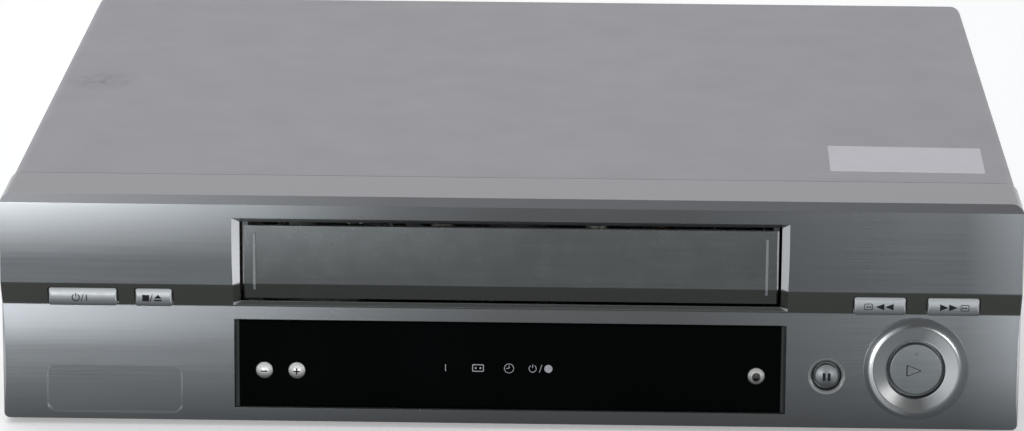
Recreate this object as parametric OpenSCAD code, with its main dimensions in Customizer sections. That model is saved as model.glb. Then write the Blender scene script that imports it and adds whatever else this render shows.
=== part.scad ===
// A full-size tape recorder for the living room, built as it comes apart on a bench.
// X runs to the right, Y to the rear, Z up. The modules measure Y from the foremost
// line of the front panel and Z from the table; the last lines centre the whole part.

/* [Housing] */
// Width across the front panel
case_w = 400; // [392:1:430]
// Height from the table to the top of the cover
case_h = 94; // [93:0.5:100]
// Depth from the foremost line to the rear edge of the cover
case_d = 335; // [330:1:360]
// How far the rear sockets stand behind the cover
jack_reach = 8; // [6:0.5:12]
// Outer bend radius of the cover's long edges
corner_r = 5; // [4:0.5:7]
// Sheet thickness of the cover
sheet_t = 0.8; // [0.6:0.1:1]
// How far each side of the cover lies inside the panel's side
cover_inset = 0.8; // [0.6:0.1:1.4]
// Height of the cover's lower edges above the table
cover_low_z = 10; // [9:0.5:14]
// Height of the feet
foot_h = 8; // [6:0.5:9]
// Radius of a foot
foot_r = 13; // [10:0.5:15]
// Distance of each foot from the panel's side
foot_inset = 40; // [25:1:60]
// Place of the front feet behind the panel
foot_front_y = 52; // [45:1:80]
// Distance of the rear feet before the cover's rear edge
foot_rear_inset = 35; // [23:1:65]
// Sheet thickness of the bottom tray
tray_t = 1; // [0.8:0.1:1.2]
// Height of the tray's folded sides
tray_side_h = 14; // [12:0.5:18]

/* [Front panel] */
// Wall thickness of the moulding
panel_t = 2.4; // [2:0.1:2.8]
// Depth of the top ledge, back to the seam with the cover
ledge_d = 33.6; // [28:0.2:38]
// Width of the seam between the panel and the cover
seam_gap = 0.4; // [0.2:0.1:0.8]
// Height of the chamfer along the top edge
chamfer_h = 3; // [2:0.1:4]
// Depth of the chamfer along the top edge
chamfer_d = 3.2; // [2:0.1:4.5]
// How far the upper face leans back at its top
face_lean = 0.8; // [0.5:0.1:1.5]
// Height of the upper edge of the undercut band
band_top_z = 58.6; // [58:0.1:60]
// Height of the lower edge of the undercut band
band_low_z = 48.6; // [48:0.1:49.5]
// How far the band steps back
band_d = 4.3; // [3.6:0.1:4.8]
// How far back the lower face starts at its toe
toe_y = 1.3; // [0.8:0.1:2]
// Outward bulge of the lower face
lower_bulge = 0.5; // [0.3:0.05:0.8]
// Height of the panel's lower edge above the table
panel_low_z = 2.3; // [1.5:0.1:3.5]
// Radius of the panel's upright front edges
edge_r = 1.4; // [0.8:0.1:2]
// Corner radius at the panel's lower ends
toe_corner_r = 2.5; // [1.5:0.1:3.5]
// Width of the blank recess at the lower left
blank_w = 53.8; // [45:0.2:58]
// Height of the blank recess
blank_h = 19.8; // [16:0.2:22]
// Depth of the blank recess
blank_d = 0.5; // [0.3:0.05:0.9]
// Width of the sloped edge round the blank recess
blank_slope_w = 0.7; // [0.3:0.05:1]
// Distance of the blank recess from the panel's left side
blank_side = 17.2; // [15:0.1:21]
// Middle of the blank recess, above the table
blank_z = 14.7; // [13.5:0.1:16]

/* [Cassette slot and door] */
// Width of the slot behind its bevelled frame
slot_w = 211.8; // [208:0.2:213]
// Height of the slot's upper edge
slot_top_z = 83.7; // [83:0.1:84.5]
// Height of the slot's lower edge
slot_low_z = 50.5; // [50:0.1:51]
// Depth of the bevelled frame
bevel_d = 2; // [1.5:0.1:2.2]
// Width of the bevel at the slot's ends
bevel_side_w = 2.7; // [2:0.1:3]
// Width of the bevel above the slot
bevel_top_w = 1.9; // [1.2:0.1:2.4]
// Width of the bevel below the slot
bevel_low_w = 1.4; // [1:0.1:1.6]
// Clearance at each end of the door
door_side_gap = 1.1; // [0.6:0.1:1.6]
// Clearance above and below the door
door_edge_gap = 1.5; // [0.8:0.1:1.8]
// How far the door lies behind the panel's face
door_recess = 2; // [1.6:0.1:2.4]
// Thickness of the door
door_t = 2; // [1.6:0.1:2.2]
// Distance of the door's pins behind the panel
door_pin_y = 6.6; // [6.4:0.1:7]
// Height of the door's pins
door_pin_z = 85.5; // [85.2:0.1:86]
// Radius of the door's pins
door_pin_r = 1.5; // [1.2:0.1:1.7]
// Radial play of every pin and shaft
pin_gap = 0.05; // [0.03:0.01:0.08]
// Play between parts that move past each other
move_gap = 0.3; // [0.25:0.05:0.4]

/* [Buttons] */
// Height of the bar buttons in the band
bar_h = 7.2; // [6.5:0.1:7.4]
// Height of their middle above the table
bar_z = 52.6; // [52.3:0.1:53]
// How far behind the foremost line they stand
bar_y = 0.9; // [0.6:0.1:1.4]
// Clearance round a bar button
bar_gap = 0.5; // [0.3:0.05:0.7]
// Radius of the play button
play_r = 10.2; // [9.5:0.1:10.8]
// Clearance round the play button
play_gap = 1.4; // [0.8:0.05:1.5]
// How far it stands right of the middle between the window and the panel's side
play_shift = 5.3; // [3:0.1:8]
// Height of the play button
play_z = 26.6; // [25.5:0.1:27.5]
// Radius of the raised ring's outer foot
ring_r = 20.6; // [19:0.1:21]
// Height of the raised ring
ring_h = 1.25; // [0.9:0.05:1.25]
// Radius of the pause button
pause_r = 4.5; // [3.8:0.1:4.6]
// Clearance round the pause button
pause_gap = 0.95; // [0.5:0.05:1]
// Distance of the pause button from the window's right end
pause_side = 16.3; // [15.6:0.1:17]
// Height of the pause button
pause_z = 23.5; // [23:0.1:26.5]
// Radius of the small domed buttons in the window
dome_r = 3.25; // [2.8:0.05:3.6]
// Height of the small domed buttons
dome_z = 22.9; // [20:0.1:26]
// Travel of a button
key_travel = 1; // [0.8:0.1:1]

/* [Display window] */
// Width of the window
window_w = 216.4; // [210:0.2:217]
// Height of the window
window_h = 35.2; // [32:0.2:36]
// Middle of the window above the table
window_z = 25.5; // [25:0.1:26.5]
// Thickness of the window
window_t = 2.6; // [2:0.1:3]
// How far the window lies behind the face
window_recess = 0.4; // [0.2:0.1:0.6]
// Chamfer round the window's front edge
window_bevel = 1; // [0.6:0.1:1.4]
// Clearance round the window
window_gap = 0.3; // [0.2:0.05:0.5]

/* [Cassette and its carriage] */
// Width of the tape cassette
cassette_w = 188; // [187:0.5:189]
// Height of the tape cassette
cassette_h = 25; // [25:0.1:25.5]
// Height of the cassette's base as it goes in
cassette_in_z = 52.6; // [52.2:0.1:53]
// How far the cassette travels back
carriage_travel = 84; // [80:1:86]
// How far it then drops
drop_travel = 20; // [18:0.5:20]
// Front edge of the holder at rest
holder_y = 43; // [42.5:0.5:45]
// Depth of the holder
holder_d = 41.5; // [38:0.5:42]
// Sheet thickness of holder, slides and cage
holder_t = 0.8; // [0.7:0.1:1]

/* [Tape deck] */
// Height of the deck plate's underside
deck_z = 24; // [23.6:0.1:24.5]
// Thickness of the deck plate
deck_t = 1.6; // [1.2:0.1:1.8]
// Radius of the head drum
drum_r = 31; // [30:0.1:31]
// Lean of the head drum
drum_tilt = 6; // [4:0.1:6.5]
// Place of the drum behind the panel
drum_y = 206; // [204:0.5:208]
// Half the distance between the reels
reel_x = 46; // [45.5:0.1:46.5]
// Place of the reels behind the panel
reel_y = 105.5; // [104:0.5:107]
// Rim radius of a reel table
reel_r = 20; // [18.5:0.1:20]
// Radius of the capstan
capstan_r = 2.5; // [2:0.1:3]
// Place of the capstan, to the right
capstan_x = 62; // [61:0.5:63]
// Place of the capstan behind the panel
capstan_y = 179; // [178:0.5:180]
// Radius of the flywheel
flywheel_r = 24; // [20:0.5:26]
// Radius of the pinch roller
pinch_r = 6.5; // [5.5:0.1:6.5]
// Teeth on the cam gear
cam_teeth = 40; // [30:1:48]

/* [Circuit boards and rear sockets] */
// Thickness of the circuit boards
board_t = 1.6; // [1.2:0.1:1.8]
// Height of the boards above the tray
board_lift = 5; // [4:0.5:6]
// Front face of the key board behind the panel
key_board_y = 14; // [13.8:0.1:14.5]
// Thickness of the rear panel
rear_t = 2; // [1.6:0.1:2.4]
// Radius of an audio socket's barrel
audio_r = 4.15; // [4:0.05:4.3]
// Radius of an aerial socket's barrel
aerial_r = 4.75; // [4.5:0.05:5]
// Width of a video socket
scart_w = 46; // [44:0.5:47]
// Height of a video socket
scart_h = 13; // [12:0.5:14]

/* [Hidden] */
$fn = 64;
smooth_fn = 720;
over = 1;

overall_d = case_d + jack_reach;
deep_y = ledge_d + 30;
half_w = case_w / 2;
foot_x = half_w - foot_inset;
foot_rear_y = case_d - foot_rear_inset;
blank_x = blank_side + blank_w / 2 - half_w;

chamfer_z = case_h - chamfer_h;
upper_h = chamfer_z - band_top_z;
upper_r = (upper_h * upper_h + face_lean * face_lean) / (2 * face_lean);
upper_tilt = atan(face_lean / upper_h);
band_h = band_top_z - band_low_z;
band_tilt = atan(band_d / band_h);
bend_step = 0.05;
lower_h = band_low_z - panel_low_z;
lower_mid_z = panel_low_z + lower_h / 2;
lower_tilt = atan((band_d - toe_y) / lower_h);
lower_chord = sqrt(lower_h * lower_h + (band_d - toe_y) * (band_d - toe_y));
lower_r = (lower_chord * lower_chord / 4 + lower_bulge * lower_bulge) / (2 * lower_bulge);
lower_cy = (band_d + toe_y) / 2 + (lower_r - lower_bulge) * cos(lower_tilt);
lower_cz = lower_mid_z - (lower_r - lower_bulge) * sin(lower_tilt);

cover_front_y = ledge_d + seam_gap;
cover_w = case_w - 2 * cover_inset;
cover_in_w = cover_w - 2 * sheet_t;
cover_in_z = case_h - sheet_t;
floor_z = foot_h + tray_t;
screw_r = 1.5;
side_screw_ys = [80, 290];
side_screw_z = 17;
rear_screw_xs = [50 - half_w, 0, half_w - 50];
rear_tab_w = 18;
rear_tab_h = 13;
rear_screw_z = cover_in_z - 7;
tray_front_y = key_board_y + board_t + 1;
rear_y = case_d - sheet_t - rear_t;
board_z = floor_z + board_lift;
board_top_z = board_z + board_t;
deck_top_z = deck_z + deck_t;

door_w = slot_w - 2 * door_side_gap;
door_top_z = slot_top_z - door_edge_gap;
door_low_z = slot_low_z + door_edge_gap;
door_arm_w = 2.2;
ear_start_x = door_w / 2 + 1.5;
ear_t = 2.8;

power_key = [32.3 - half_w, 26.7];
stop_key = [60.2 - half_w, 14.3];
rewind_key = [half_w - 55.4, 20.1];
forward_key = [half_w - 26.7, 20.1];
bar_keys = [power_key, stop_key, rewind_key, forward_key];
dome_keys = [[-96.7, dome_z], [-83.9, dome_z], [96.9, dome_z]];
flange_t = 1;
stem_end = 6.2;
switch_w = 6;
switch_h = 3.5;
lamp_x = [-25.3, -12.5, 0, 12.5];
lamp_z = 24.8;
play_x = (window_w / 2 + half_w) / 2 + play_shift;
pause_x = window_w / 2 + pause_side;

holder_in_w = cassette_w + 6.4;
holder_w = holder_in_w + 2 * holder_t;
holder_low_z = cassette_in_z - 0.6 - holder_t;
holder_top_z = cassette_in_z + cassette_h + 2.2;
holder_pin_z = holder_low_z + 15;
holder_pin_ys = [holder_y + 12, holder_y + 28];
slide_w = holder_w + 0.8;
slide_top_z = holder_top_z + 2;
slide_pin_z = holder_top_z - 5;
slide_pin_ys = [holder_y + 5, holder_y + 36];
cage_w = slide_w + 2 * holder_t + 1.2;
cage_top_z = slide_top_z + 2;
cage_front_y = holder_y - 1;
cage_rear_y = holder_y + holder_d + carriage_travel + 8;
cage_pin_r = 1.5;

post_x = 104;
deck_posts = [[-post_x, 56], [post_x, 56], [-post_x, 160], [post_x, 160],
    [-post_x, 262], [post_x, 262]];
deck_w = 2 * post_x + 14;
deck_front_y = 46;
deck_rear_y = 274;
drum_z = 46;
drum_half = [16, 15];
clutch_y = 112;
clutch_r = 7.8;
idler_r = 8.9;
idler_reach = clutch_r + idler_r + move_gap;
pulley_z = board_top_z + 1;
post_r = 2;
bearing_r = 5;
drum_shaft_r = 3;
guide_slot_r = 2.6;
reel_post_z = deck_top_z + 14;
reel_low_z = deck_top_z + 0.5;
tension_pivot = [-72, 186];
tension_tip = [-58, 170];
belt_r = [8, 13];
guide_start = [33, 160];
guide_end = [45, 228];
guide_travel = norm(guide_end - guide_start);
guide_turn = atan((guide_end[0] - guide_start[0]) / (guide_end[1] - guide_start[1]));
pinch_pivot = [84, 199];
pinch_rest = [79.4, 178];
cam_x = -80;
cam_y = 236;
cam_r = 18;
cam_z = 31;
worm_r = 4;
worm_y = cam_y + cam_r + worm_r + move_gap;
worm_z = cam_z + 2;

tuner_x = half_w - 48;
aerial_xs = [half_w - 62, half_w - 38];
jack_z = 30;
audio_x = half_w - 102;
audio_zs = [jack_z, jack_z + 18];
scart_xs = [-34, 32];
inlet_x = 40 - half_w;
inlet_w = 24;
inlet_h = 16;
inlet_pin_x = 4.3;
inlet_depth = 13;

side_post_x = half_w - 15;
rear_post_y = rear_y - 32.2;
board_posts = [[-side_post_x, 130], [-120, 130], [-side_post_x, rear_y - 16.2], [-120, rear_post_y],
    [-60, 40], [60, 40], [side_post_x, 40], [side_post_x, 180], [side_post_x, 250],
    [-60, rear_post_y], [80, rear_post_y]];
key_board_bosses = [[9 - half_w, 30], [half_w - 9, 30], [-116, 45], [116, 45], [-116, 18], [116, 18]];

// Height functions of the panel's three faces, measured back from the foremost line
function lower_y(z) = toe_y + (band_d - toe_y) * (z - panel_low_z) / lower_h
    - lower_bulge * (1 - pow(2 * (z - lower_mid_z) / lower_h, 2));
// Slope of the lower face at a height, as the angle by which it leans back
function lower_lean(z) = atan((band_d - toe_y) / lower_h
    + 8 * lower_bulge * (z - lower_mid_z) / (lower_h * lower_h));
// Points of a shallow dome, from its middle to its rim
function dome_points(r, rise, depth, steps) =
    let (ball = (r * r + rise * rise) / (2 * rise), sweep = asin(r / ball))
    [for (i = [0:steps]) let (a = sweep * i / steps) [ball * sin(a), depth - rise + ball * (1 - cos(a))]];

// Helpers that place outlines and plain solids
module along_x(x0, x1) {
    translate([x0, 0, 0]) rotate([90, 0, 90]) linear_extrude(height = x1 - x0) children();
}

module along_y(y0, y1) {
    translate([0, y1, 0]) rotate([90, 0, 0]) linear_extrude(height = y1 - y0) children();
}

module block(low, high) {
    translate(low) cube(high - low);
}

module rod_x(x0, x1, y, z, r) {
    translate([x0, y, z]) rotate([0, 90, 0]) cylinder(r = r, h = x1 - x0);
}

module rod_y(y0, y1, x, z, r) {
    translate([x, y0, z]) rotate([-90, 0, 0]) cylinder(r = r, h = y1 - y0);
}

module rod_z(z0, z1, x, y, r) {
    translate([x, y, z0]) cylinder(r = r, h = z1 - z0);
}

module both_sides() {
    children();
    mirror([1, 0, 0]) children();
}

module round_rect(w, h, r) {
    square([w - 2 * r, h], center = true);
    square([w, h - 2 * r], center = true);
    for (x = [-1, 1], y = [-1, 1])
        translate([x * (w / 2 - r), y * (h / 2 - r)]) circle(r = r);
}

// An upright outline with round upper corners and, if asked for, round lower ones
module arch(w, z0, z1, top_r, low_r) {
    translate([-w / 2, z0 + low_r]) square([w, z1 - z0 - top_r - low_r]);
    translate([-w / 2 + top_r, z1 - top_r - over]) square([w - 2 * top_r, top_r + over]);
    for (x = [-1, 1]) translate([x * (w / 2 - top_r), z1 - top_r]) circle(r = top_r);
    if (low_r > 0) {
        translate([-w / 2 + low_r, z0]) square([w - 2 * low_r, low_r + over]);
        for (x = [-1, 1]) translate([x * (w / 2 - low_r), z0 + low_r]) circle(r = low_r);
    }
}

// A bar with round ends from one point to another
module slot_shape(a, b, r) {
    span = b - a;
    len = norm(span);
    translate(a) circle(r = r);
    translate(b) circle(r = r);
    translate(a) rotate(atan2(span[1], span[0])) translate([0, -r]) square([len, 2 * r]);
}

// The outline of a belt round two pulleys
module belt_shape(a, ra, b, rb) {
    span = b - a;
    len = norm(span);
    lean = acos((ra - rb) / len);
    translate(a) circle(r = ra);
    translate(b) circle(r = rb);
    translate(a) rotate(atan2(span[1], span[0])) polygon([
        [ra * cos(lean), ra * sin(lean)], [len + rb * cos(lean), rb * sin(lean)],
        [len + rb * cos(lean), -rb * sin(lean)], [ra * cos(lean), -ra * sin(lean)]]);
}

// A toothed outline, with straight-sided teeth between root and tip
module gear_shape(teeth, root_r, tip_r) {
    step = 360 / teeth;
    polygon([for (i = [0:teeth - 1]) each [
        [root_r * cos(step * (i - 0.3)), root_r * sin(step * (i - 0.3))],
        [tip_r * cos(step * (i - 0.14)), tip_r * sin(step * (i - 0.14))],
        [tip_r * cos(step * (i + 0.14)), tip_r * sin(step * (i + 0.14))],
        [root_r * cos(step * (i + 0.3)), root_r * sin(step * (i + 0.3))]]]);
}

// The side outline of the front panel: chamfer, upper face, undercut band, lower face
module front_profile() {
    intersection() {
        translate([upper_r, band_top_z]) circle(r = upper_r, $fn = smooth_fn);
        polygon([[-over, band_top_z], [deep_y, band_top_z], [deep_y, case_h],
            [face_lean + chamfer_d, case_h], [face_lean, chamfer_z], [-over, chamfer_z]]);
    }
    polygon([[0, band_top_z], [band_d, band_low_z], [deep_y, band_low_z], [deep_y, band_top_z]]);
    intersection() {
        translate([lower_cy, lower_cz]) circle(r = lower_r, $fn = smooth_fn);
        polygon([[-over, panel_low_z], [deep_y, panel_low_z], [deep_y, band_low_z],
            [-over, band_low_z]]);
    }
}

// A layer that follows the panel's face, from one depth behind it to another
module face_layer(x0, x1, depth0, depth1, z0, z1) {
    intersection() {
        along_x(x0, x1) difference() {
            translate([depth0, 0]) front_profile();
            translate([depth1, 0]) front_profile();
        }
        block([x0 - over, -over, z0], [x1 + over, deep_y, z1]);
    }
}

// All that lies in front of a depth behind the face
module before_face(w, depth) {
    along_x(-w / 2, w / 2) difference() {
        translate([-6, panel_low_z - over]) square([24, case_h - panel_low_z + 2 * over]);
        translate([depth, 0]) front_profile();
    }
}

// A plan outline carried along the panel's three faces; its Y is the depth behind the face.
// Cutting tools take a small step, which lets the two upper stretches cross cleanly.
module follow_face(step = 0) {
    reach = case_h;
    intersection() {
        translate([0, 0, band_top_z]) rotate([-upper_tilt, 0, 0])
            translate([0, 0, -reach]) linear_extrude(height = 2 * reach) children();
        block([-case_w, -case_w, band_top_z - 20 * step], [case_w, case_w, case_h + over]);
    }
    intersection() {
        translate([0, step, band_top_z]) rotate([band_tilt, 0, 0])
            translate([0, 0, -reach]) linear_extrude(height = 2 * reach) children();
        block([-case_w, -case_w, band_low_z], [case_w, case_w, band_top_z + 20 * step]);
    }
    intersection() {
        translate([0, band_d + step, band_low_z]) rotate([-lower_tilt, 0, 0])
            translate([0, 0, -2 * reach]) linear_extrude(height = 3 * reach) children();
        block([-case_w, -case_w, panel_low_z - over], [case_w, case_w, band_low_z]);
    }
}

// A frame on the lower face whose Z points into the panel
module on_lower_face(x, z) {
    translate([x, lower_y(z), z]) rotate([-lower_tilt - 90, 0, 0]) children();
}

// A shallow pan with round corners whose sides slope out from its floor, for cutting
module sloped_pan(w, h, r, depth, run) {
    flare = run * (1 + over / depth);
    for (x = [-1, 1], y = [-1, 1]) translate([x * (w / 2 - r), y * (h / 2 - r), -over])
        cylinder(r1 = r + flare, r2 = r, h = depth + over);
    along_x(r - w / 2, w / 2 - r)
        polygon([[-h / 2 - flare, -over], [h / 2 + flare, -over], [h / 2, depth], [-h / 2, depth]]);
    along_y(r - h / 2, h / 2 - r)
        polygon([[-w / 2 - flare, -over], [w / 2 + flare, -over], [w / 2, depth], [-w / 2, depth]]);
}

module screw_head(r, h) {
    difference() {
        cylinder(r = r, h = h);
        for (turn = [0, 90]) rotate(turn)
            translate([-r * 0.6, -0.4, h / 2]) cube([r * 1.2, 0.8, h]);
    }
}

// Bottom tray: pressed steel with folded sides, vents, and posts for boards and deck
module base_tray() {
    front_w = case_w - 2 * panel_t - 1;
    color("lightgray") difference() {
        union() {
            block([-front_w / 2, tray_front_y, foot_h], [front_w / 2, ledge_d, floor_z]);
            block([-cover_in_w / 2, ledge_d, foot_h], [cover_in_w / 2, rear_y, floor_z]);
            both_sides() block([cover_in_w / 2 - tray_t, ledge_d + 8, foot_h],
                [cover_in_w / 2, rear_y, foot_h + tray_side_h]);
            block([-cover_in_w / 2 + 6, tray_front_y, foot_h],
                [cover_in_w / 2 - 6, tray_front_y + tray_t, floor_z + board_lift]);
            for (p = deck_posts) rod_z(floor_z - tray_t / 2, deck_z, p[0], p[1], 4);
            for (p = board_posts) rod_z(floor_z - tray_t / 2, board_z, p[0], p[1], 3);
        }
        for (x = [50 - half_w, 40], row = [0:11])
            translate([x + row * 6, 195, foot_h - over]) cube([3, 55, tray_t + 2 * over]);
        for (row = [0:7])
            translate([-24 + row * 6, 60, foot_h - over]) cube([3, 36, tray_t + 2 * over]);
        both_sides() for (y = side_screw_ys)
            rod_x(cover_in_w / 2 - 2 * tray_t, half_w, y, side_screw_z, screw_r + pin_gap);
    }
}

module feet() {
    color("dimgray") for (x = [-foot_x, foot_x], y = [foot_front_y, foot_rear_y])
        translate([x, y, 0]) rotate_extrude() polygon([[0, 1], [foot_r - 5, 1], [foot_r - 4, 0],
            [foot_r - 1, 0], [foot_r, 1], [foot_r + 1, foot_h - 1], [foot_r + 1, foot_h],
            [0, foot_h]]);
}

// Top cover: one sheet bent into a U, with three tabs folded down at the rear
module top_cover() {
    color("silver") difference() {
        union() {
            difference() {
                along_y(cover_front_y, case_d) arch(cover_w, cover_low_z, case_h, corner_r, 0);
                along_y(cover_front_y - over, case_d + over)
                    arch(cover_in_w, cover_low_z - over, cover_in_z, corner_r - sheet_t, 0);
            }
            for (x = rear_screw_xs)
                block([x - rear_tab_w / 2, case_d - sheet_t, cover_in_z - rear_tab_h],
                    [x + rear_tab_w / 2, case_d, cover_in_z + sheet_t / 2]);
        }
        both_sides() for (y = side_screw_ys)
            rod_x(cover_in_w / 2 - over, half_w, y, side_screw_z, screw_r + pin_gap);
        for (x = rear_screw_xs)
            rod_y(case_d - 2, case_d + over, x, rear_screw_z, screw_r + pin_gap);
    }
}

module cover_screws() {
    head_r = 3.4;
    color("gray") {
        for (side = [-1, 1], y = side_screw_ys) {
            translate([side * cover_w / 2, y, side_screw_z]) rotate([0, side * 90, 0])
                screw_head(head_r, cover_inset);
            rod_x(side > 0 ? cover_w / 2 - 3.6 : -cover_w / 2 - 0.1,
                side > 0 ? cover_w / 2 + 0.1 : -cover_w / 2 + 3.6, y, side_screw_z, screw_r);
        }
        for (x = rear_screw_xs) {
            translate([x, case_d, rear_screw_z]) rotate([-90, 0, 0]) screw_head(head_r, 1.6);
            rod_y(case_d - 5, case_d + 0.1, x, rear_screw_z, screw_r);
        }
    }
}

// What rounds the panel's upright front edges, along all three faces
module upright_edge_cut() {
    depth = edge_r - lower_bulge;
    both_sides() follow_face(bend_step) difference() {
        translate([half_w - edge_r, depth - 4]) square([edge_r + over, 4]);
        translate([half_w - edge_r, depth]) circle(r = edge_r);
    }
}

module panel_shell() {
    difference() {
        intersection() {
            along_x(-half_w, half_w) front_profile();
            along_y(-over, ledge_d) arch(case_w, panel_low_z, case_h, corner_r, toe_corner_r);
        }
        upright_edge_cut();
        intersection() {
            along_x(-half_w + panel_t, half_w - panel_t) translate([panel_t, 0]) front_profile();
            along_y(0, ledge_d + over) arch(case_w - 2 * panel_t, panel_low_z + panel_t,
                case_h - panel_t, corner_r - panel_t, 0);
        }
        block([-half_w - over, ledge_d - 9, panel_low_z - over],
            [half_w + over, ledge_d + over, cover_low_z - 1]);
    }
}

// Opening of the cassette slot with its bevelled frame, which follows the three faces
module slot_cut() {
    outer = slot_w / 2 + bevel_side_w;
    inner = slot_w / 2;
    depth = 14;
    run = 4;
    side_run = run * bevel_side_w / bevel_d;
    top_y = face_lean * pow((slot_top_z + bevel_top_w - band_top_z) / upper_h, 2);
    low_y = band_d * (band_top_z - slot_low_z + bevel_low_w) / band_h;
    block([-inner, -over, slot_low_z], [inner, depth, slot_top_z]);
    intersection() {
        follow_face(bend_step) polygon([[-outer - side_run, -run], [outer + side_run, -run],
            [inner, bevel_d], [-inner, bevel_d]]);
        along_x(-half_w, half_w) polygon([
            [top_y - run, slot_top_z + bevel_top_w * (1 + run / bevel_d)],
            [top_y + bevel_d, slot_top_z], [depth, slot_top_z],
            [depth, slot_low_z], [low_y + bevel_d, slot_low_z],
            [low_y - 2 * run, slot_low_z - bevel_low_w * (1 + 2 * run / bevel_d)],
            [top_y - run, slot_low_z - bevel_low_w * (1 + 2 * run / bevel_d)]]);
    }
}

module bar_key_outline(key, grow) {
    translate([key[0], bar_z]) round_rect(key[1] + 2 * grow, bar_h + 2 * grow, 0.9 + grow);
}

// Raised ring round the play button: a sloped foot, a rounded rim and a dished face
module play_ring() {
    hole_r = play_r + play_gap;
    rim_r = ring_r - 3.6;
    lip = 0.5;
    lip_rise = 0.5 * ring_h - 0.2;
    on_lower_face(play_x, play_z) rotate_extrude($fn = 96) polygon(concat(
        [[hole_r - lip, panel_t - 0.2], [hole_r - lip, 0.1], [hole_r + lip, -lip_rise],
            [rim_r - lip, -ring_h + 0.05]],
        [for (i = [0:5]) let (t = i / 5) [rim_r + (ring_r - rim_r) * t,
            -ring_h * cos(90 * t) * (1 - 0.25 * t)]],
        [[ring_r, panel_t - 0.2]]));
}

module front_panel() {
    color("silver") difference() {
        union() {
            panel_shell();
            face_layer(-window_w / 2 - 4, window_w / 2 + 4, panel_t - 0.4, panel_t + 2.2,
                panel_low_z + panel_t / 2, window_z + window_h / 2 + 3);
            play_ring();
            for (p = key_board_bosses) rod_y(lower_y(p[1]) + panel_t / 2, key_board_y, p[0], p[1], 2.5);
            both_sides() difference() {
                block([ear_start_x, panel_t, door_pin_z - 4],
                    [ear_start_x + ear_t, door_pin_y + 4, case_h - panel_t + 0.4]);
                rod_x(ear_start_x - over, ear_start_x + ear_t + over, door_pin_y, door_pin_z,
                    door_pin_r + pin_gap);
            }
            block([-half_w + 20, ledge_d - 6, cover_in_z - panel_t - 0.8],
                [half_w - 20, ledge_d + 5, cover_in_z - 0.1]);
            both_sides() block([cover_in_w / 2 - 2, ledge_d - 6, cover_low_z + 16],
                [cover_in_w / 2 - 0.1, ledge_d + 5, case_h - 12]);
            for (x = [-150, -50, 50, 150])
                block([x - 8, tray_front_y, panel_low_z + panel_t / 2], [x + 8, ledge_d - 9, foot_h]);
        }
        slot_cut();
        intersection() {
            along_y(-5, 12) translate([0, window_z])
                square([window_w + 2 * window_gap, window_h + 2 * window_gap], center = true);
            before_face(case_w, window_recess + window_t);
        }
        along_y(0, 12) translate([0, window_z])
            square([window_w - 6, window_h - 6], center = true);
        along_y(-5, 12) for (key = bar_keys) bar_key_outline(key, bar_gap);
        on_lower_face(play_x, play_z) translate([0, 0, -6])
            cylinder(r = play_r + play_gap, h = 12);
        on_lower_face(pause_x, pause_z) translate([0, 0, -6])
            cylinder(r = pause_r + pause_gap, h = 12);
        on_lower_face(pause_x, pause_z) translate([0, 0, -over])
            cylinder(r1 = pause_r + pause_gap + 2.7, r2 = pause_r + pause_gap, h = over + 1);
        translate([blank_x, lower_y(blank_z), blank_z]) rotate([-lower_lean(blank_z) - 90, 0, 0])
            sloped_pan(blank_w - 2 * blank_slope_w, blank_h - 2 * blank_slope_w, 4 - blank_slope_w,
                blank_d, blank_slope_w);
    }
}

// Rear panel with openings for every socket
module rear_panel() {
    color("dimgray") difference() {
        along_y(rear_y, rear_y + rear_t)
            arch(cover_in_w, floor_z - tray_t, cover_in_z, corner_r - sheet_t, 0);
        for (x = scart_xs) along_y(rear_y - over, case_d + over)
            translate([x, jack_z]) scart_outline(0.3);
        for (x = aerial_xs) rod_y(rear_y - over, case_d + over, x, jack_z, aerial_r + 1.8);
        for (z = audio_zs) rod_y(rear_y - over, case_d + over, audio_x, z, audio_r + 1.2);
        along_y(rear_y - over, case_d + over) translate([inlet_x, jack_z])
            square([inlet_w + 0.6, inlet_h + 0.6], center = true);
        for (row = [0:13], bank = [0, 1])
            translate([50 - half_w + row * 7, rear_y - over, 58 + bank * 12])
                cube([4, rear_t + 2 * over, 8]);
        for (x = rear_screw_xs) rod_y(rear_y - over, case_d, x, rear_screw_z, screw_r + pin_gap);
    }
}

// Display window: a dark clear pane with bevelled edges and three button holes
module display_window() {
    w = window_w / 2;
    z0 = window_z - window_h / 2;
    z1 = window_z + window_h / 2;
    back = window_recess + window_t;
    bevel_y = window_bevel * 0.7;
    reach = 3;
    rise = window_bevel * (bevel_y + reach) / bevel_y;
    front_y0 = lower_y(z0) + window_recess;
    front_y1 = lower_y(z1) + window_recess;
    color([0.05, 0.05, 0.06]) difference() {
        intersection() {
            face_layer(-w, w, window_recess, back, z0, z1);
            follow_face() polygon([[-w, window_recess - lower_bulge + window_bevel],
                [-w + window_bevel, window_recess - lower_bulge - 0.01],
                [-w + window_bevel, -3], [w - window_bevel, -3],
                [w - window_bevel, window_recess - lower_bulge - 0.01],
                [w, window_recess - lower_bulge + window_bevel], [w, 9], [-w, 9]]);
            along_x(-w - over, w + over) polygon([
                [front_y0 + bevel_y, z0], [deep_y, z0], [deep_y, z1], [front_y1 + bevel_y, z1],
                [front_y1 - reach, z1 - rise], [front_y0 - reach, z0 + rise]]);
        }
        for (p = dome_keys) on_lower_face(p[0], p[1]) translate([0, 0, -3])
            cylinder(r = dome_r + move_gap, h = 9);
    }
}

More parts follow.
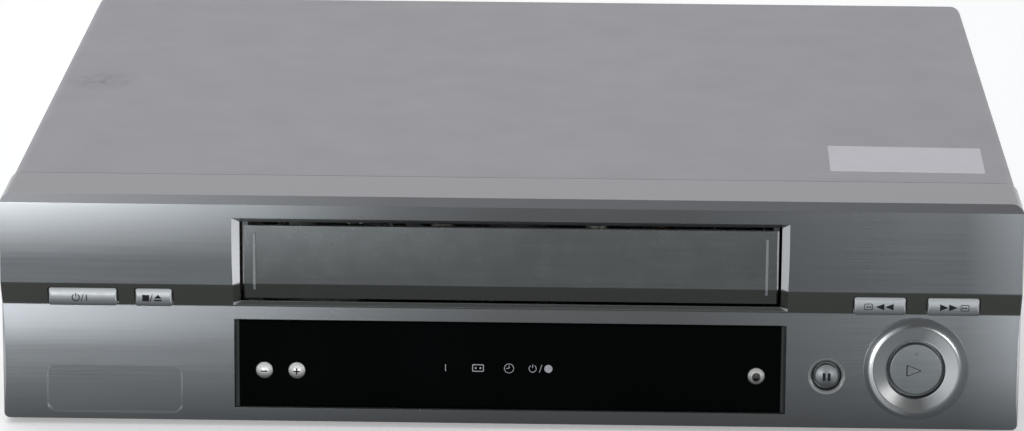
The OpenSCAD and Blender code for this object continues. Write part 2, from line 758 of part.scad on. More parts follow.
// Cassette door: a flap with the panel's own outline, hung on two stub pins
module cassette_door() {
    w = door_w / 2;
    edge = 0.5;
    rib_x = 100.2;
    rib_w = 1.25;
    arm_r = door_pin_r + 1.5;
    color("silver") {
        intersection() {
            face_layer(-w, w, door_recess, door_recess + door_t, door_low_z, door_top_z);
            follow_face() polygon([[-w, door_recess + edge], [-w + edge * 2, door_recess - edge],
                [w - edge * 2, door_recess - edge], [w, door_recess + edge], [w, 14], [-w, 14]]);
        }
        both_sides() {
            face_layer(rib_x - rib_w / 2, rib_x + rib_w / 2, door_recess - 0.45,
                door_recess + door_t / 2, door_low_z + 3.5, door_top_z - 3);
            along_x(w - door_arm_w, w) {
                translate([door_pin_y, door_pin_z]) circle(r = arm_r);
                polygon([[door_recess + face_lean + 0.9, door_top_z - 12],
                    [door_recess + door_t + 0.2, door_top_z - 12],
                    [door_pin_y + arm_r, door_pin_z], [door_pin_y - arm_r, door_pin_z],
                    [door_recess + face_lean + 1.1, door_top_z]]);
            }
            rod_x(w - door_arm_w / 2, ear_start_x + ear_t + 0.6, door_pin_y, door_pin_z, door_pin_r);
        }
    }
}

// Closing spring of the door, coiled beside the left ear
module door_spring() {
    wire_r = 0.32;
    coil_r = door_pin_r + move_gap + wire_r;
    ear_x = -ear_start_x - ear_t;
    color("gray") {
        translate([ear_x - wire_r - 0.1, door_pin_y, door_pin_z]) rotate([0, -90, 0]) rotate_extrude()
            for (turn = [0:5]) translate([coil_r, turn * 0.6]) circle(r = wire_r, $fn = 16);
        rod_z(door_pin_z, case_h - panel_t, ear_x - 3.4, door_pin_y + coil_r, wire_r - 0.02);
    }
}

// Bar button in the band: a rounded bar, a flange behind the wall and a short stem
module bar_button(key) {
    front_r = 8;
    flange_y = band_d + panel_t + 0.4;
    stem_y = key_board_y - switch_h - 0.6 - key_travel - move_gap;
    intersection() {
        along_y(bar_y - over, flange_y + flange_t / 2) bar_key_outline(key, 0);
        along_x(key[0] - key[1], key[0] + key[1])
            translate([bar_y + front_r, bar_z]) circle(r = front_r, $fn = 180);
        translate([key[0], bar_y + front_r, bar_z - bar_h])
            linear_extrude(height = 2 * bar_h) round_rect(key[1], 2 * front_r, 0.9);
    }
    along_y(flange_y, flange_y + flange_t) translate([key[0], bar_z])
        square([key[1] + 2.6, bar_h + 2.6], center = true);
    rod_y(flange_y, stem_y, key[0], bar_z, 1.5);
}

// Round button on the lower face, turned from its front outline, a flange and a stem
module round_button(x, z, front, r, flange_r, flange_depth) {
    on_lower_face(x, z) rotate_extrude($fn = 72) polygon(concat(front, [
        [r, flange_depth], [flange_r, flange_depth], [flange_r, flange_depth + flange_t],
        [1.5, flange_depth + flange_t], [1.5, stem_end], [0, stem_end]]));
}

module power_button() {
    color("silver") bar_button(power_key);
}

module stop_eject_button() {
    color("silver") bar_button(stop_key);
}

module rewind_button() {
    color("silver") bar_button(rewind_key);
}

module fast_forward_button() {
    color("silver") bar_button(forward_key);
}

module play_button() {
    front = concat(dome_points(play_r - 0.5, 0.25, -0.75, 6), [[play_r - 0.12, -0.55], [play_r, -0.2]]);
    color("silver") {
        round_button(play_x, play_z, front, play_r, play_r + play_gap + 1.5, panel_t + 0.5);
        on_lower_face(play_x, play_z) translate([0, -play_r * 0.64, -0.75]) sphere(r = 0.5, $fn = 32);
    }
}

module pause_button() {
    front = concat(dome_points(pause_r - 0.25, 0.9, -0.05, 6), [[pause_r, 0.25]]);
    color("silver")
        round_button(pause_x, pause_z, front, pause_r, pause_r + pause_gap + 1.4, panel_t + 0.5);
}

module dome_button(spot) {
    front = dome_points(dome_r, 1.5, 0.4, 7);
    round_button(spot[0], spot[1], front, dome_r, dome_r + 1.35, window_recess + window_t + move_gap);
}

module channel_down_button() {
    color("silver") dome_button(dome_keys[0]);
}

module channel_up_button() {
    color("silver") dome_button(dome_keys[1]);
}

// Tuning button: a small ring round a hole for a pen tip
module tuning_button() {
    color("silver") difference() {
        dome_button(dome_keys[2]);
        on_lower_face(dome_keys[2][0], dome_keys[2][1]) translate([0, 0, -2])
            cylinder(r = 1.65, h = 4.4);
    }
}

module key_board() {
    wing_z = bar_z + 5.5;
    mid_z = slot_low_z - 3;
    low_z = floor_z + 2;
    edge_x = half_w - panel_t - 4.6;
    notch_x = slot_w / 2 + 12;
    color("darkgreen") along_y(key_board_y, key_board_y + board_t) difference() {
        polygon([[-edge_x, low_z], [edge_x, low_z], [edge_x, wing_z], [notch_x, wing_z],
            [notch_x, mid_z], [-notch_x, mid_z], [-notch_x, wing_z], [-edge_x, wing_z]]);
        for (p = key_board_bosses) translate(p) circle(r = 1.6);
    }
}

// Places of the nine push switches on the key board
function switch_spots() = concat([for (k = bar_keys) [k[0], bar_z]],
    [[play_x, play_z - 0.5], [pause_x, pause_z - 0.5]], [for (p = dome_keys) [p[0], p[1] - 0.5]]);

module key_switches() {
    color("dimgray") for (p = switch_spots()) {
        block([p[0] - switch_w / 2, key_board_y - switch_h, p[1] - switch_w / 2],
            [p[0] + switch_w / 2, key_board_y, p[1] + switch_w / 2]);
        rod_y(key_board_y - switch_h - 0.6, key_board_y - switch_h + 0.2, p[0], p[1], 1.7);
    }
}

module indicator_lamps() {
    lamp_r = 1.5;
    color("gainsboro") for (x = lamp_x) {
        rod_y(key_board_y - 6, key_board_y, x, lamp_z, lamp_r);
        translate([x, key_board_y - 6, lamp_z]) sphere(r = lamp_r);
        rod_y(key_board_y - 1, key_board_y, x, lamp_z, lamp_r + 0.4);
    }
}

module remote_receiver() {
    x = 45;
    color("dimgray") {
        block([x - 3, key_board_y - 4, lamp_z - 3.5], [x + 3, key_board_y, lamp_z + 3.5]);
        translate([x, key_board_y - 4, lamp_z + 0.5]) sphere(r = 2.2);
    }
}

// Main board, with holes for the posts that carry the deck
module main_board() {
    color("darkgreen") difference() {
        block([-post_x - 8, tray_front_y + 12, board_z], [half_w - 8, rear_y - 8, board_top_z]);
        for (p = deck_posts) rod_z(board_z - over, board_top_z + over, p[0], p[1], 4 + 2 * move_gap);
    }
}

// A chip with two rows of legs
module chip(x, y, w, d, h, legs) {
    translate([x, y, board_top_z]) {
        translate([-w / 2, -d / 2, 0.5]) cube([w, d, h]);
        for (i = [0:legs - 1], side = [-1, 1])
            translate([-w / 2 + (i + 0.5) * w / legs - 0.3, side > 0 ? d / 2 - 0.2 : -d / 2 - 1.2, 0])
                cube([0.6, 1.4, 0.8]);
    }
}

module signal_chips() {
    color("dimgray") {
        chip(150, 90, 26, 26, 2.4, 10);
        chip(150, 150, 30, 12, 3.6, 9);
        chip(-72, 72, 34, 13, 3.6, 9);
        chip(40, 60, 20, 10, 2.2, 7);
    }
}

// An electrolytic capacitor with a crimped rim
module can_capacitor(x, y, r, h) {
    translate([x, y, board_top_z]) rotate_extrude($fn = 48) polygon([[0, 0], [r, 0], [r, 1.4],
        [r - 0.5, 2], [r, 2.6], [r, h - 0.6], [r - 0.6, h], [r - 1.2, h - 0.4], [0, h - 0.4]]);
}

module board_capacitors() {
    color("darkslategray") for (i = [0:4]) {
        can_capacitor(half_w - 75 + i * 14, 225, 4, 12);
        can_capacitor(half_w - 30, 60 + i * 16, 5, 16);
    }
}

module tuner_can() {
    w = 50;
    front = rear_y - 60;
    top = jack_z + 9;
    color("gainsboro") difference() {
        block([tuner_x - w / 2, front, board_top_z], [tuner_x + w / 2, rear_y - 10, top]);
        for (i = [0:4]) rod_z(top - 1, top + over, tuner_x - 16 + i * 8, front + 14, 2);
        block([tuner_x - w / 2 - over, front + 28, top - 0.6],
            [tuner_x + w / 2 + over, front + 29, top + over]);
    }
}

// Aerial sockets: one takes the aerial's plug, one feeds the television
module aerial_sockets() {
    color("silver") for (x = aerial_xs) difference() {
        union() {
            rod_y(rear_y - 10, rear_y + rear_t + 1, x, jack_z, aerial_r + 1.4);
            rod_y(rear_y, overall_d, x, jack_z, aerial_r);
        }
        difference() {
            rod_y(overall_d - 8, overall_d + over, x, jack_z, aerial_r - 0.7);
            rod_y(overall_d - 9, overall_d - (x == aerial_xs[0] ? 1 : 0.4), x, jack_z,
                x == aerial_xs[0] ? 2.6 : 1.2);
        }
        if (x == aerial_xs[0]) rod_y(overall_d - 8, overall_d, x, jack_z, 1.3);
    }
}

module audio_sockets() {
    color("dimgray") {
        block([audio_x - 7, rear_y - 14, board_top_z], [audio_x + 7, rear_y, audio_zs[1] + 8]);
        for (z = audio_zs) difference() {
            union() {
                rod_y(rear_y - over, rear_y + rear_t + 1, audio_x, z, audio_r + 0.9);
                rod_y(rear_y, overall_d, audio_x, z, audio_r);
            }
            rod_y(overall_d - 8, overall_d + over, audio_x, z, 1.6);
        }
    }
}

// Outline of a video socket, with its slanted end
module scart_outline(grow) {
    w = scart_w / 2 + grow;
    h = scart_h / 2 + grow;
    polygon([[-w, -h], [w - 3.5, -h], [w, -h + 4.5], [w, h], [-w, h]]);
}

module scart_sockets() {
    front = case_d + 1;
    color("dimgray") for (x = scart_xs) difference() {
        union() {
            along_y(rear_y - 14, front) translate([x, jack_z]) scart_outline(0);
            along_y(rear_y - 2, rear_y) translate([x, jack_z]) scart_outline(2);
            block([x - scart_w / 2 + 1, rear_y - 14, board_top_z], [x + scart_w / 2 - 4, rear_y - 8, jack_z]);
        }
        along_y(front - 9, front + over) translate([x, jack_z]) difference() {
            scart_outline(-1);
            scart_outline(-2.6);
        }
        for (i = [0:9], row = [-1, 1])
            translate([x - 16.5 + i * 3.4, front - 6, jack_z + row * 2 - 1]) cube([1, 6 + over, 2]);
    }
}

module power_board() {
    color("darkgreen") block([-half_w + 8, 120, board_z], [-post_x - 12, rear_y - 8, board_top_z]);
}

// Mains inlet: a flanged housing with a two-lobed recess and two pins
module mains_inlet() {
    front = case_d + 1;
    color("dimgray") difference() {
        union() {
            block([inlet_x - inlet_w / 2, rear_y - 14, jack_z - inlet_h / 2],
                [inlet_x + inlet_w / 2, front, jack_z + inlet_h / 2]);
            block([inlet_x - inlet_w / 2 - 3, rear_y - 2, jack_z - inlet_h / 2 - 3],
                [inlet_x + inlet_w / 2 + 3, rear_y, jack_z + inlet_h / 2 + 3]);
            block([inlet_x - 8, rear_y - 14, board_top_z], [inlet_x + 8, rear_y - 8, jack_z]);
        }
        difference() {
            along_y(front - inlet_depth, front + over) translate([inlet_x, jack_z])
                slot_shape([-inlet_pin_x + 0.4, 0], [inlet_pin_x - 0.4, 0], 4.4);
            for (side = [-1, 1])
                rod_y(front - inlet_depth - over, front - 2, inlet_x + side * inlet_pin_x, jack_z, 1.15);
        }
    }
}

// Transformer: a square core on a foot plate, with its winding in front and behind
module power_transformer() {
    x = 48 - half_w;
    y = rear_y - 82.2;
    w = 38;
    d = 30;
    h = 30;
    foot_t = 3;
    color("goldenrod") {
        block([x - w / 2, y - d / 4, board_top_z + foot_t], [x + w / 2, y + d / 4, board_top_z + foot_t + h]);
        difference() {
            rod_z(board_top_z + 9, board_top_z + h - foot_t, x, y, d / 2);
            block([x - w, y - d / 4, board_top_z], [x + w, y + d / 4, board_top_z + 2 * h]);
        }
        block([x - w / 2, y - d / 2, board_top_z], [x + w / 2, y + d / 2, board_top_z + foot_t]);
    }
}

module heat_sink() {
    x = 24 - half_w;
    color("lightgray") {
        block([x, 150, board_top_z], [x + 3, 200, board_top_z + 40]);
        for (i = [0:6]) block([x + 3, 150 + i * 8, board_top_z + 3], [x + 17, 152 + i * 8, board_top_z + 40]);
    }
}

module mains_capacitor() {
    color("darkslategray") can_capacitor(65 - half_w, 190, 11, 38);
}

// Deck plate with turned-up edges, the two guide tracks, posts and lightening holes
module deck_plate() {
    lip_h = 4;
    lip_end_x = cage_w / 2 - 1;
    color("gainsboro") {
        difference() {
            union() {
                block([-deck_w / 2, deck_front_y, deck_z], [deck_w / 2, deck_rear_y, deck_top_z]);
                for (y = [deck_front_y, deck_rear_y - deck_t])
                    block([-lip_end_x, y, deck_z], [lip_end_x, y + deck_t, deck_top_z + lip_h]);
            }
            for (side = [-1, 1]) translate([side * guide_start[0], guide_start[1], deck_z - over])
                rotate(90 - side * guide_turn) linear_extrude(height = deck_t + 2 * over)
                    slot_shape([0, 0], [guide_travel, 0], guide_slot_r);
            rod_z(deck_z - over, deck_top_z + over, capstan_x, capstan_y, bearing_r + pin_gap);
            rod_z(deck_z - over, deck_top_z + over, 0, clutch_y, 1.5 + pin_gap);
            for (x = [-72, 72]) rod_z(deck_z - over, deck_top_z + over, x, 70, 9);
            rod_z(deck_z - over, deck_top_z + over, 0, 76, 12);
            rod_z(deck_z - over, deck_top_z + over, 30, 254, 8);
        }
        both_sides() {
            rod_z(deck_top_z - 0.5, reel_post_z, reel_x, reel_y, post_r);
            rod_z(deck_top_z - 0.5, deck_top_z + 5, guide_end[0] + 1, guide_end[1] + 12, 4);
        }
        rod_z(deck_top_z - 0.5, deck_top_z + 9, pinch_pivot[0], pinch_pivot[1], post_r);
        rod_z(deck_top_z - 0.5, deck_top_z + 6, tension_pivot[0], tension_pivot[1], post_r);
        rod_z(deck_top_z - 0.5, cam_z + 6, cam_x, cam_y, post_r);
    }
}

module in_drum_frame() {
    translate([0, drum_y, drum_z]) rotate([0, drum_tilt, 0]) children();
}

// Lower drum: leaning, with the ledge that guides the tape's edge round it
module lower_drum() {
    ledge_w = 0.7;
    color("lightgray") difference() {
        union() {
            in_drum_frame() translate([0, 0, -drum_half[0]])
                cylinder(r = drum_r, h = drum_half[0], $fn = 128);
            intersection() {
                in_drum_frame() translate([0, 0, -drum_half[0]])
                    cylinder(r = drum_r + ledge_w, h = drum_half[0], $fn = 128);
                block([-2 * drum_r, drum_y - 2 * drum_r, 0],
                    [2 * drum_r, drum_y + 2 * drum_r, drum_z - 6]);
            }
            rod_z(deck_top_z, drum_z - 10, 0, drum_y, drum_r * 0.7);
        }
        in_drum_frame() translate([0, 0, 1.5 - drum_half[0]])
            cylinder(r = drum_shaft_r + pin_gap, h = drum_half[0]);
    }
}

// Upper drum: turned, with four head windows in its lower rim
module upper_drum() {
    color("silver") in_drum_frame() difference() {
        union() {
            translate([0, 0, move_gap]) cylinder(r = drum_r, h = drum_half[1] - move_gap, $fn = 128);
            translate([0, 0, 2 - drum_half[0]]) cylinder(r = drum_shaft_r, h = drum_half[0]);
        }
        for (turn = [20:90:290]) rotate(turn) translate([drum_r - 3, -3, move_gap - over])
            cube([5, 6, 2.6 + over]);
        translate([0, 0, drum_half[1] - 4]) difference() {
            cylinder(r = drum_r - 3, h = 5);
            cylinder(r = 12, h = 6);
        }
    }
}

module drum_rotor() {
    rotor_r = 21;
    color("dimgray") in_drum_frame() translate([0, 0, drum_half[1]]) rotate_extrude($fn = 96) polygon([
        [0, 0], [11, 0], [11, 1.2], [rotor_r, 1.2], [rotor_r, 7], [rotor_r - 1, 8], [10, 8],
        [9, 6.5], [4, 6.5], [4, 9], [0, 9]]);
}

// Capstan with its flywheel and belt pulley
module capstan() {
    fly_low = pulley_z + 2.2;
    color("silver") {
        rod_z(pulley_z, drum_z + 9, capstan_x, capstan_y, capstan_r);
        rod_z(pulley_z, fly_low + 0.5, capstan_x, capstan_y, belt_r[0]);
        translate([capstan_x, capstan_y, 0]) difference() {
            translate([0, 0, fly_low]) cylinder(r = flywheel_r, h = deck_z - 1.2 - fly_low, $fn = 128);
            translate([0, 0, deck_z - 2.2]) difference() {
                cylinder(r = flywheel_r - 3, h = 2);
                cylinder(r = 9, h = 3);
            }
        }
    }
}

module capstan_bearing() {
    color("goldenrod") translate([capstan_x, capstan_y, 0]) difference() {
        union() {
            translate([0, 0, deck_z - 0.8]) cylinder(r = bearing_r, h = deck_t + 10);
            translate([0, 0, deck_top_z]) cylinder(r = bearing_r + 3, h = 1);
        }
        translate([0, 0, deck_z - over - 1]) cylinder(r = capstan_r + pin_gap, h = deck_t + 14);
    }
}

module drive_belt() {
    belt_t = 1;
    color("dimgray") translate([0, 0, pulley_z + 0.2]) linear_extrude(height = 1.6) difference() {
        belt_shape([0, clutch_y], belt_r[1] + move_gap + belt_t, [capstan_x, capstan_y],
            belt_r[0] + move_gap + belt_t);
        belt_shape([0, clutch_y], belt_r[1] + move_gap, [capstan_x, capstan_y], belt_r[0] + move_gap);
    }
}

module clutch_pulley() {
    color("ivory") {
        rod_z(pulley_z, pulley_z + 2.4, 0, clutch_y, belt_r[1]);
        rod_z(pulley_z, deck_top_z + 8, 0, clutch_y, 1.5);
        rod_z(deck_top_z + 1.4, deck_top_z + 4.4, 0, clutch_y, clutch_r);
    }
}

// Idler arm: swings the idler wheel from one reel to the other
module idler_arm() {
    z = deck_top_z + 4.8;
    color("gainsboro") difference() {
        union() {
            translate([0, 0, z]) linear_extrude(height = 1.2)
                slot_shape([0, clutch_y], [0, clutch_y - idler_reach], 3.6);
            rod_z(deck_top_z + 1, z + 0.2, 0, clutch_y - idler_reach, 1.5);
        }
        rod_z(z - over, z + 3, 0, clutch_y, 1.5 + pin_gap);
    }
}

module idler_wheel() {
    color("dimgray") translate([0, clutch_y - idler_reach, deck_top_z + 1.4]) difference() {
        cylinder(r = idler_r, h = 3);
        translate([0, 0, -over]) cylinder(r = 1.5 + pin_gap, h = 5);
        for (turn = [0:72:288]) rotate(turn) translate([4.8, 0, -over]) cylinder(r = 1.2, h = 5);
    }
}

// Reel table: a rim for the idler, a turntable and a splined spindle
module reel_table(x) {
    spindle_r = 7;
    top = reel_post_z + 4;
    color("ivory") translate([x, reel_y, reel_low_z]) difference() {
        union() {
            translate([0, 0, 0.9]) cylinder(r = reel_r, h = 3, $fn = 96);
            cylinder(r = 5, h = 2);
            translate([0, 0, 3]) cylinder(r = reel_r - 4, h = 2.2, $fn = 96);
            translate([0, 0, 4]) cylinder(r = spindle_r, h = top - reel_low_z - 7);
            translate([0, 0, top - reel_low_z - 3]) cylinder(r1 = spindle_r, r2 = 3, h = 3);
            for (turn = [0:120:240]) rotate(turn)
                translate([spindle_r - 1, -1, 4]) cube([3, 2, top - reel_low_z - 9]);
        }
        translate([0, 0, -over]) cylinder(r = post_r + pin_gap, h = reel_post_z - reel_low_z + over + 0.4);
    }
}

module supply_reel() {
    reel_table(-reel_x);
}

module takeup_reel() {
    reel_table(reel_x);
}

module pinch_arm() {
    z = deck_top_z + 1.4;
    color("gainsboro") difference() {
        union() {
            translate([0, 0, z]) linear_extrude(height = 3) slot_shape(pinch_pivot, pinch_rest, 3.5);
            rod_z(z, z + 6, pinch_pivot[0], pinch_pivot[1], 4);
            rod_z(z + 2, drum_z + 9, pinch_rest[0], pinch_rest[1], 1.5);
        }
        rod_z(z - over, z + 8, pinch_pivot[0], pinch_pivot[1], post_r + pin_gap);
    }
}

module pinch_roller() {
    color("dimgray") translate([pinch_rest[0], pinch_rest[1], drum_z - 9]) difference() {
        union() {
            cylinder(r = pinch_r, h = 15);
            translate([0, 0, -0.6]) cylinder(r = 3, h = 16.2);
        }
        translate([0, 0, -2]) cylinder(r = 1.5 + pin_gap, h = 20);
    }
}

// Guide base: slides in its track and carries a roller and a slanted pole
module tape_guide(side) {
    x = side * guide_start[0];
    y = guide_start[1];
    low = deck_top_z + move_gap;
    color("silver") {
        translate([x, y, low]) {
            linear_extrude(height = 3) round_rect(11, 14, 2);
            translate([0, 0, -deck_t - 0.8]) cylinder(r = guide_slot_r - move_gap, h = deck_t + 2);
        }
        translate([x, y + 2, low + 2.5]) rotate_extrude($fn = 48) polygon([[0, 0], [2, 0], [2, 7],
            [5, 7], [5, 8], [4, 8.6], [4, 23.4], [5, 24], [5, 25], [1.6, 25.6], [0, 25.6]]);
        translate([x, y - 4, low + 2]) rotate([0, side * 14, 0]) cylinder(r = 1.5, h = 24);
    }
}

module supply_guide() {
    tape_guide(-1);
}

module takeup_guide() {
    tape_guide(1);
}

module tension_arm() {
    z = deck_top_z + 1.4;
    color("gainsboro") difference() {
        union() {
            translate([0, 0, z]) linear_extrude(height = 1.6) slot_shape(tension_pivot, tension_tip, 3.2);
            rod_z(z, z + 3.6, tension_pivot[0], tension_pivot[1], 4);
            rod_z(z + 1, drum_z + 8, tension_tip[0], tension_tip[1], 1.8);
        }
        rod_z(z - over, z + 5, tension_pivot[0], tension_pivot[1], post_r + pin_gap);
    }
}

module head_block(x, y) {
    rod_z(deck_top_z, drum_z - 9, x, y, 3);
    difference() {
        block([x - 5, y - 4, drum_z - 9], [x + 5, y + 4, drum_z + 8]);
        block([x - 2.2, y - 5, drum_z - 7], [x + 2.2, y - 3.2, drum_z + 6]);
    }
}

module erase_head() {
    color("gray") head_block(-53, 196);
}

module audio_head() {
    color("gray") head_block(56, 197);
}

// Loading motor on its bracket, with the bearing for the worm's far end
module loading_motor() {
    motor_r = 7;
    color("lightgray") difference() {
        union() {
            rod_x(-66, -40, worm_y, worm_z, motor_r);
            rod_x(-67, -40, worm_y, worm_z, 3);
            block([-64, worm_y - 5, deck_top_z], [-44, worm_y + 5, worm_z - 3]);
            block([-98, worm_y - 4, deck_top_z], [-95, worm_y + 4, worm_z + 4]);
        }
        rod_x(-99, -60, worm_y, worm_z, 1.2 + pin_gap);
    }
}

module loading_worm() {
    color("ivory") {
        translate([-93, worm_y, worm_z]) rotate([0, 90, 0]) rotate_extrude($fn = 48) polygon(concat(
            [[0, 0], [worm_r - 1.2, 0]],
            [for (i = [0:7]) each [[worm_r - 1.2, 2 + i * 2.4], [worm_r, 2.6 + i * 2.4],
                [worm_r, 3.2 + i * 2.4], [worm_r - 1.2, 3.8 + i * 2.4]]],
            [[worm_r - 1.2, 24], [0, 24]]));
        rod_x(-97.6, -63, worm_y, worm_z, 1.2);
    }
}

// Cam gear: teeth for the worm, spokes and a raised cam
module cam_gear() {
    color("ivory") translate([cam_x, cam_y, cam_z]) difference() {
        union() {
            linear_extrude(height = 4) gear_shape(cam_teeth, cam_r - 2, cam_r);
            translate([0, 0, deck_top_z + 0.4 - cam_z]) cylinder(r = 5, h = cam_z - deck_top_z + 4);
            translate([0, -5, -2.4]) cylinder(r = 9, h = 2.6);
        }
        translate([0, 0, -8]) cylinder(r = post_r + pin_gap, h = 20);
        for (turn = [0:60:300]) rotate(turn) translate([11, 0, -over]) cylinder(r = 2.4, h = 6);
    }
}

// Cage: two side plates with the slots that guide the slides, joined by two bars
module cassette_cage() {
    pin_slot_r = cage_pin_r + move_gap;
    color("gainsboro") {
        both_sides() {
            difference() {
                block([cage_w / 2, cage_front_y, deck_top_z],
                    [cage_w / 2 + holder_t, cage_rear_y, cage_top_z]);
                along_x(cage_w / 2 - over, cage_w / 2 + holder_t + over)
                    slot_shape([slide_pin_ys[0], slide_pin_z],
                        [slide_pin_ys[1] + carriage_travel, slide_pin_z], pin_slot_r);
                for (y = [80, 120, 155]) along_x(cage_w / 2 - over, cage_w / 2 + holder_t + over)
                    translate([y, deck_top_z + 24]) round_rect(20, 24, 4);
            }
            for (y = [68, 140])
                block([cage_w / 2, y, deck_top_z], [cage_w / 2 + 9, y + 14, deck_top_z + holder_t]);
        }
        for (y = [cage_front_y, cage_rear_y - 9])
            block([-cage_w / 2 - holder_t, y, cage_top_z - holder_t],
                [cage_w / 2 + holder_t, y + 9, cage_top_z]);
    }
}

// Slides: a plate on each side with two pins in the cage and slots for the holder
module carriage_slides() {
    low_z = holder_pin_z - drop_travel - 4.5;
    lift_slot_r = cage_pin_r + move_gap;
    color("ivory") {
        both_sides() {
            difference() {
                block([slide_w / 2, holder_y, low_z],
                    [slide_w / 2 + holder_t, holder_y + holder_d, slide_top_z]);
                for (y = holder_pin_ys) along_x(slide_w / 2 - over, slide_w / 2 + holder_t + over)
                    slot_shape([y, holder_pin_z - drop_travel], [y, holder_pin_z], lift_slot_r);
            }
            for (y = slide_pin_ys)
                rod_x(slide_w / 2 + holder_t / 2, cage_w / 2 + holder_t, y, slide_pin_z, cage_pin_r);
        }
        block([-slide_w / 2 - holder_t, holder_y + 16, slide_top_z - holder_t],
            [slide_w / 2 + holder_t, holder_y + 26, slide_top_z]);
    }
}

// Holder: the folded tray that grips the cassette, open below between two ledges
module cassette_holder() {
    ledge_w = 11;
    color("lightgray") {
        difference() {
            block([-holder_w / 2, holder_y, holder_low_z], [holder_w / 2, holder_y + holder_d, holder_top_z]);
            block([-holder_in_w / 2, holder_y - over, holder_low_z + holder_t],
                [holder_in_w / 2, holder_y + holder_d + over, holder_top_z - holder_t]);
            block([-holder_in_w / 2 + ledge_w, holder_y - over, holder_low_z - over],
                [holder_in_w / 2 - ledge_w, holder_y + holder_d + over, holder_top_z - holder_t]);
            for (x = [-60, 60]) translate([x, holder_y + holder_d / 2, holder_top_z - 2])
                linear_extrude(height = 4) round_rect(44, 18, 4);
        }
        both_sides() {
            block([holder_in_w / 2 - 16, holder_y + holder_d - holder_t, holder_top_z - 16],
                [holder_in_w / 2 + holder_t / 2, holder_y + holder_d, holder_top_z - holder_t / 2]);
            for (y = holder_pin_ys)
                rod_x(holder_w / 2 - holder_t / 2, slide_w / 2 + holder_t, y, holder_pin_z, cage_pin_r);
        }
    }
}

// Screws of the boards and of the deck, all of one kind
module inner_screws() {
    head_r = 2.6;
    head_h = 1.6;
    color("gray") {
        for (p = board_posts) translate([p[0], p[1], board_top_z]) screw_head(head_r, head_h);
        for (p = deck_posts) translate([p[0], p[1], deck_top_z]) screw_head(head_r, head_h);
        for (p = key_board_bosses) translate([p[0], key_board_y + board_t, p[1]])
            rotate([-90, 0, 0]) screw_head(head_r, tray_front_y - key_board_y - board_t);
    }
}

// Moves the whole part so that its middle lies over the origin
module centred() {
    translate([0, -overall_d / 2, 0]) children();
}

centred() base_tray();
centred() feet();
centred() top_cover();
centred() cover_screws();
centred() front_panel();
centred() rear_panel();
centred() display_window();
centred() cassette_door();
centred() door_spring();
centred() power_button();
centred() stop_eject_button();
centred() rewind_button();
centred() fast_forward_button();
centred() play_button();
centred() pause_button();
centred() channel_down_button();
centred() channel_up_button();
centred() tuning_button();
centred() key_board();
centred() key_switches();
centred() indicator_lamps();
centred() remote_receiver();
centred() main_board();
centred() signal_chips();
centred() board_capacitors();
centred() tuner_can();
centred() aerial_sockets();
centred() scart_sockets();
centred() audio_sockets();
centred() power_board();
centred() mains_inlet();
centred() power_transformer();
centred() heat_sink();
centred() mains_capacitor();
centred() deck_plate();
centred() lower_drum();
centred() upper_drum();
centred() drum_rotor();
centred() capstan();
centred() capstan_bearing();
centred() drive_belt();
centred() clutch_pulley();
centred() idler_arm();
centred() idler_wheel();
centred() supply_reel();
centred() takeup_reel();
centred() pinch_arm();
centred() pinch_roller();
centred() supply_guide();
centred() takeup_guide();
centred() tension_arm();
centred() erase_head();
centred() audio_head();
centred() loading_motor();
centred() loading_worm();
centred() cam_gear();
centred() cassette_cage();
centred() carriage_slides();
centred() cassette_holder();
centred() inner_screws();
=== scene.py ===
# %% [markdown]
# # A front-loading video cassette recorder
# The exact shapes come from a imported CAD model, loaded here as a fixed frame. This lesson gives every
# one of its pieces a finish, adds the thin printed signs and the paper label, and sets up the camera,
# the floor and the lamps. All lengths are in metres, and a value in millimetres is multiplied by `MM`.
# Only the outlines of the signs are drawn in plain millimetres.

import math

import bmesh
import bpy
from mathutils import Matrix, Vector
from mathutils.bvhtree import BVHTree

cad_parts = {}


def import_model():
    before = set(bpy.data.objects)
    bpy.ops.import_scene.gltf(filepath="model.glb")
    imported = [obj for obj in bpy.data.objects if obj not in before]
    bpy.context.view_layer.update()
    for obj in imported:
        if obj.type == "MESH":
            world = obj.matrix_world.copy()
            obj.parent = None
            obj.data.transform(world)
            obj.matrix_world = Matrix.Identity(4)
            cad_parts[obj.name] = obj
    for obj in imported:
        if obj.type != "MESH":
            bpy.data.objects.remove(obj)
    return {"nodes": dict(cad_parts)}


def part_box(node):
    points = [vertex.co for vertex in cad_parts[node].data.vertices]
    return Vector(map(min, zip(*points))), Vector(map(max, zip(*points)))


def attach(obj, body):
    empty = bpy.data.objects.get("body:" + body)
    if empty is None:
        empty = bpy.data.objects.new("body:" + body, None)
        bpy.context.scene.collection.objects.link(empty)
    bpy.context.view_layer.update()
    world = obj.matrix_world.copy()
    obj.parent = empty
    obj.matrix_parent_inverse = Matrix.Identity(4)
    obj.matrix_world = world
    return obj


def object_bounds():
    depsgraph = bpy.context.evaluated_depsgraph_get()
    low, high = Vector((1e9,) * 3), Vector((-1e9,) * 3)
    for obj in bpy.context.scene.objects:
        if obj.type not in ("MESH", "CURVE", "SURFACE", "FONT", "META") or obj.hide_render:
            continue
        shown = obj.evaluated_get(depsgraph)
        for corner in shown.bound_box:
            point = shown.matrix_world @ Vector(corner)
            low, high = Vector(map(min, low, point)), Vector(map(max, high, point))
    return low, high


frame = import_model()
nodes = frame["nodes"]
cad_low, cad_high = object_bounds()
MM = 0.001
print("nodes:", len(nodes), "box:", [round(v, 4) for v in cad_high - cad_low])

# %% [markdown]
# ## The camera
# The picture was taken from a little above and slightly to the right of the middle, with a long lens.
# A camera could be aimed at a point, but this one also leans by a fraction of a degree. Its place and
# turn were worked out from the edges of the housing, so it is set from those numbers: where it stands,
# and the angles, in radians, by which it looks down, turns and rolls.

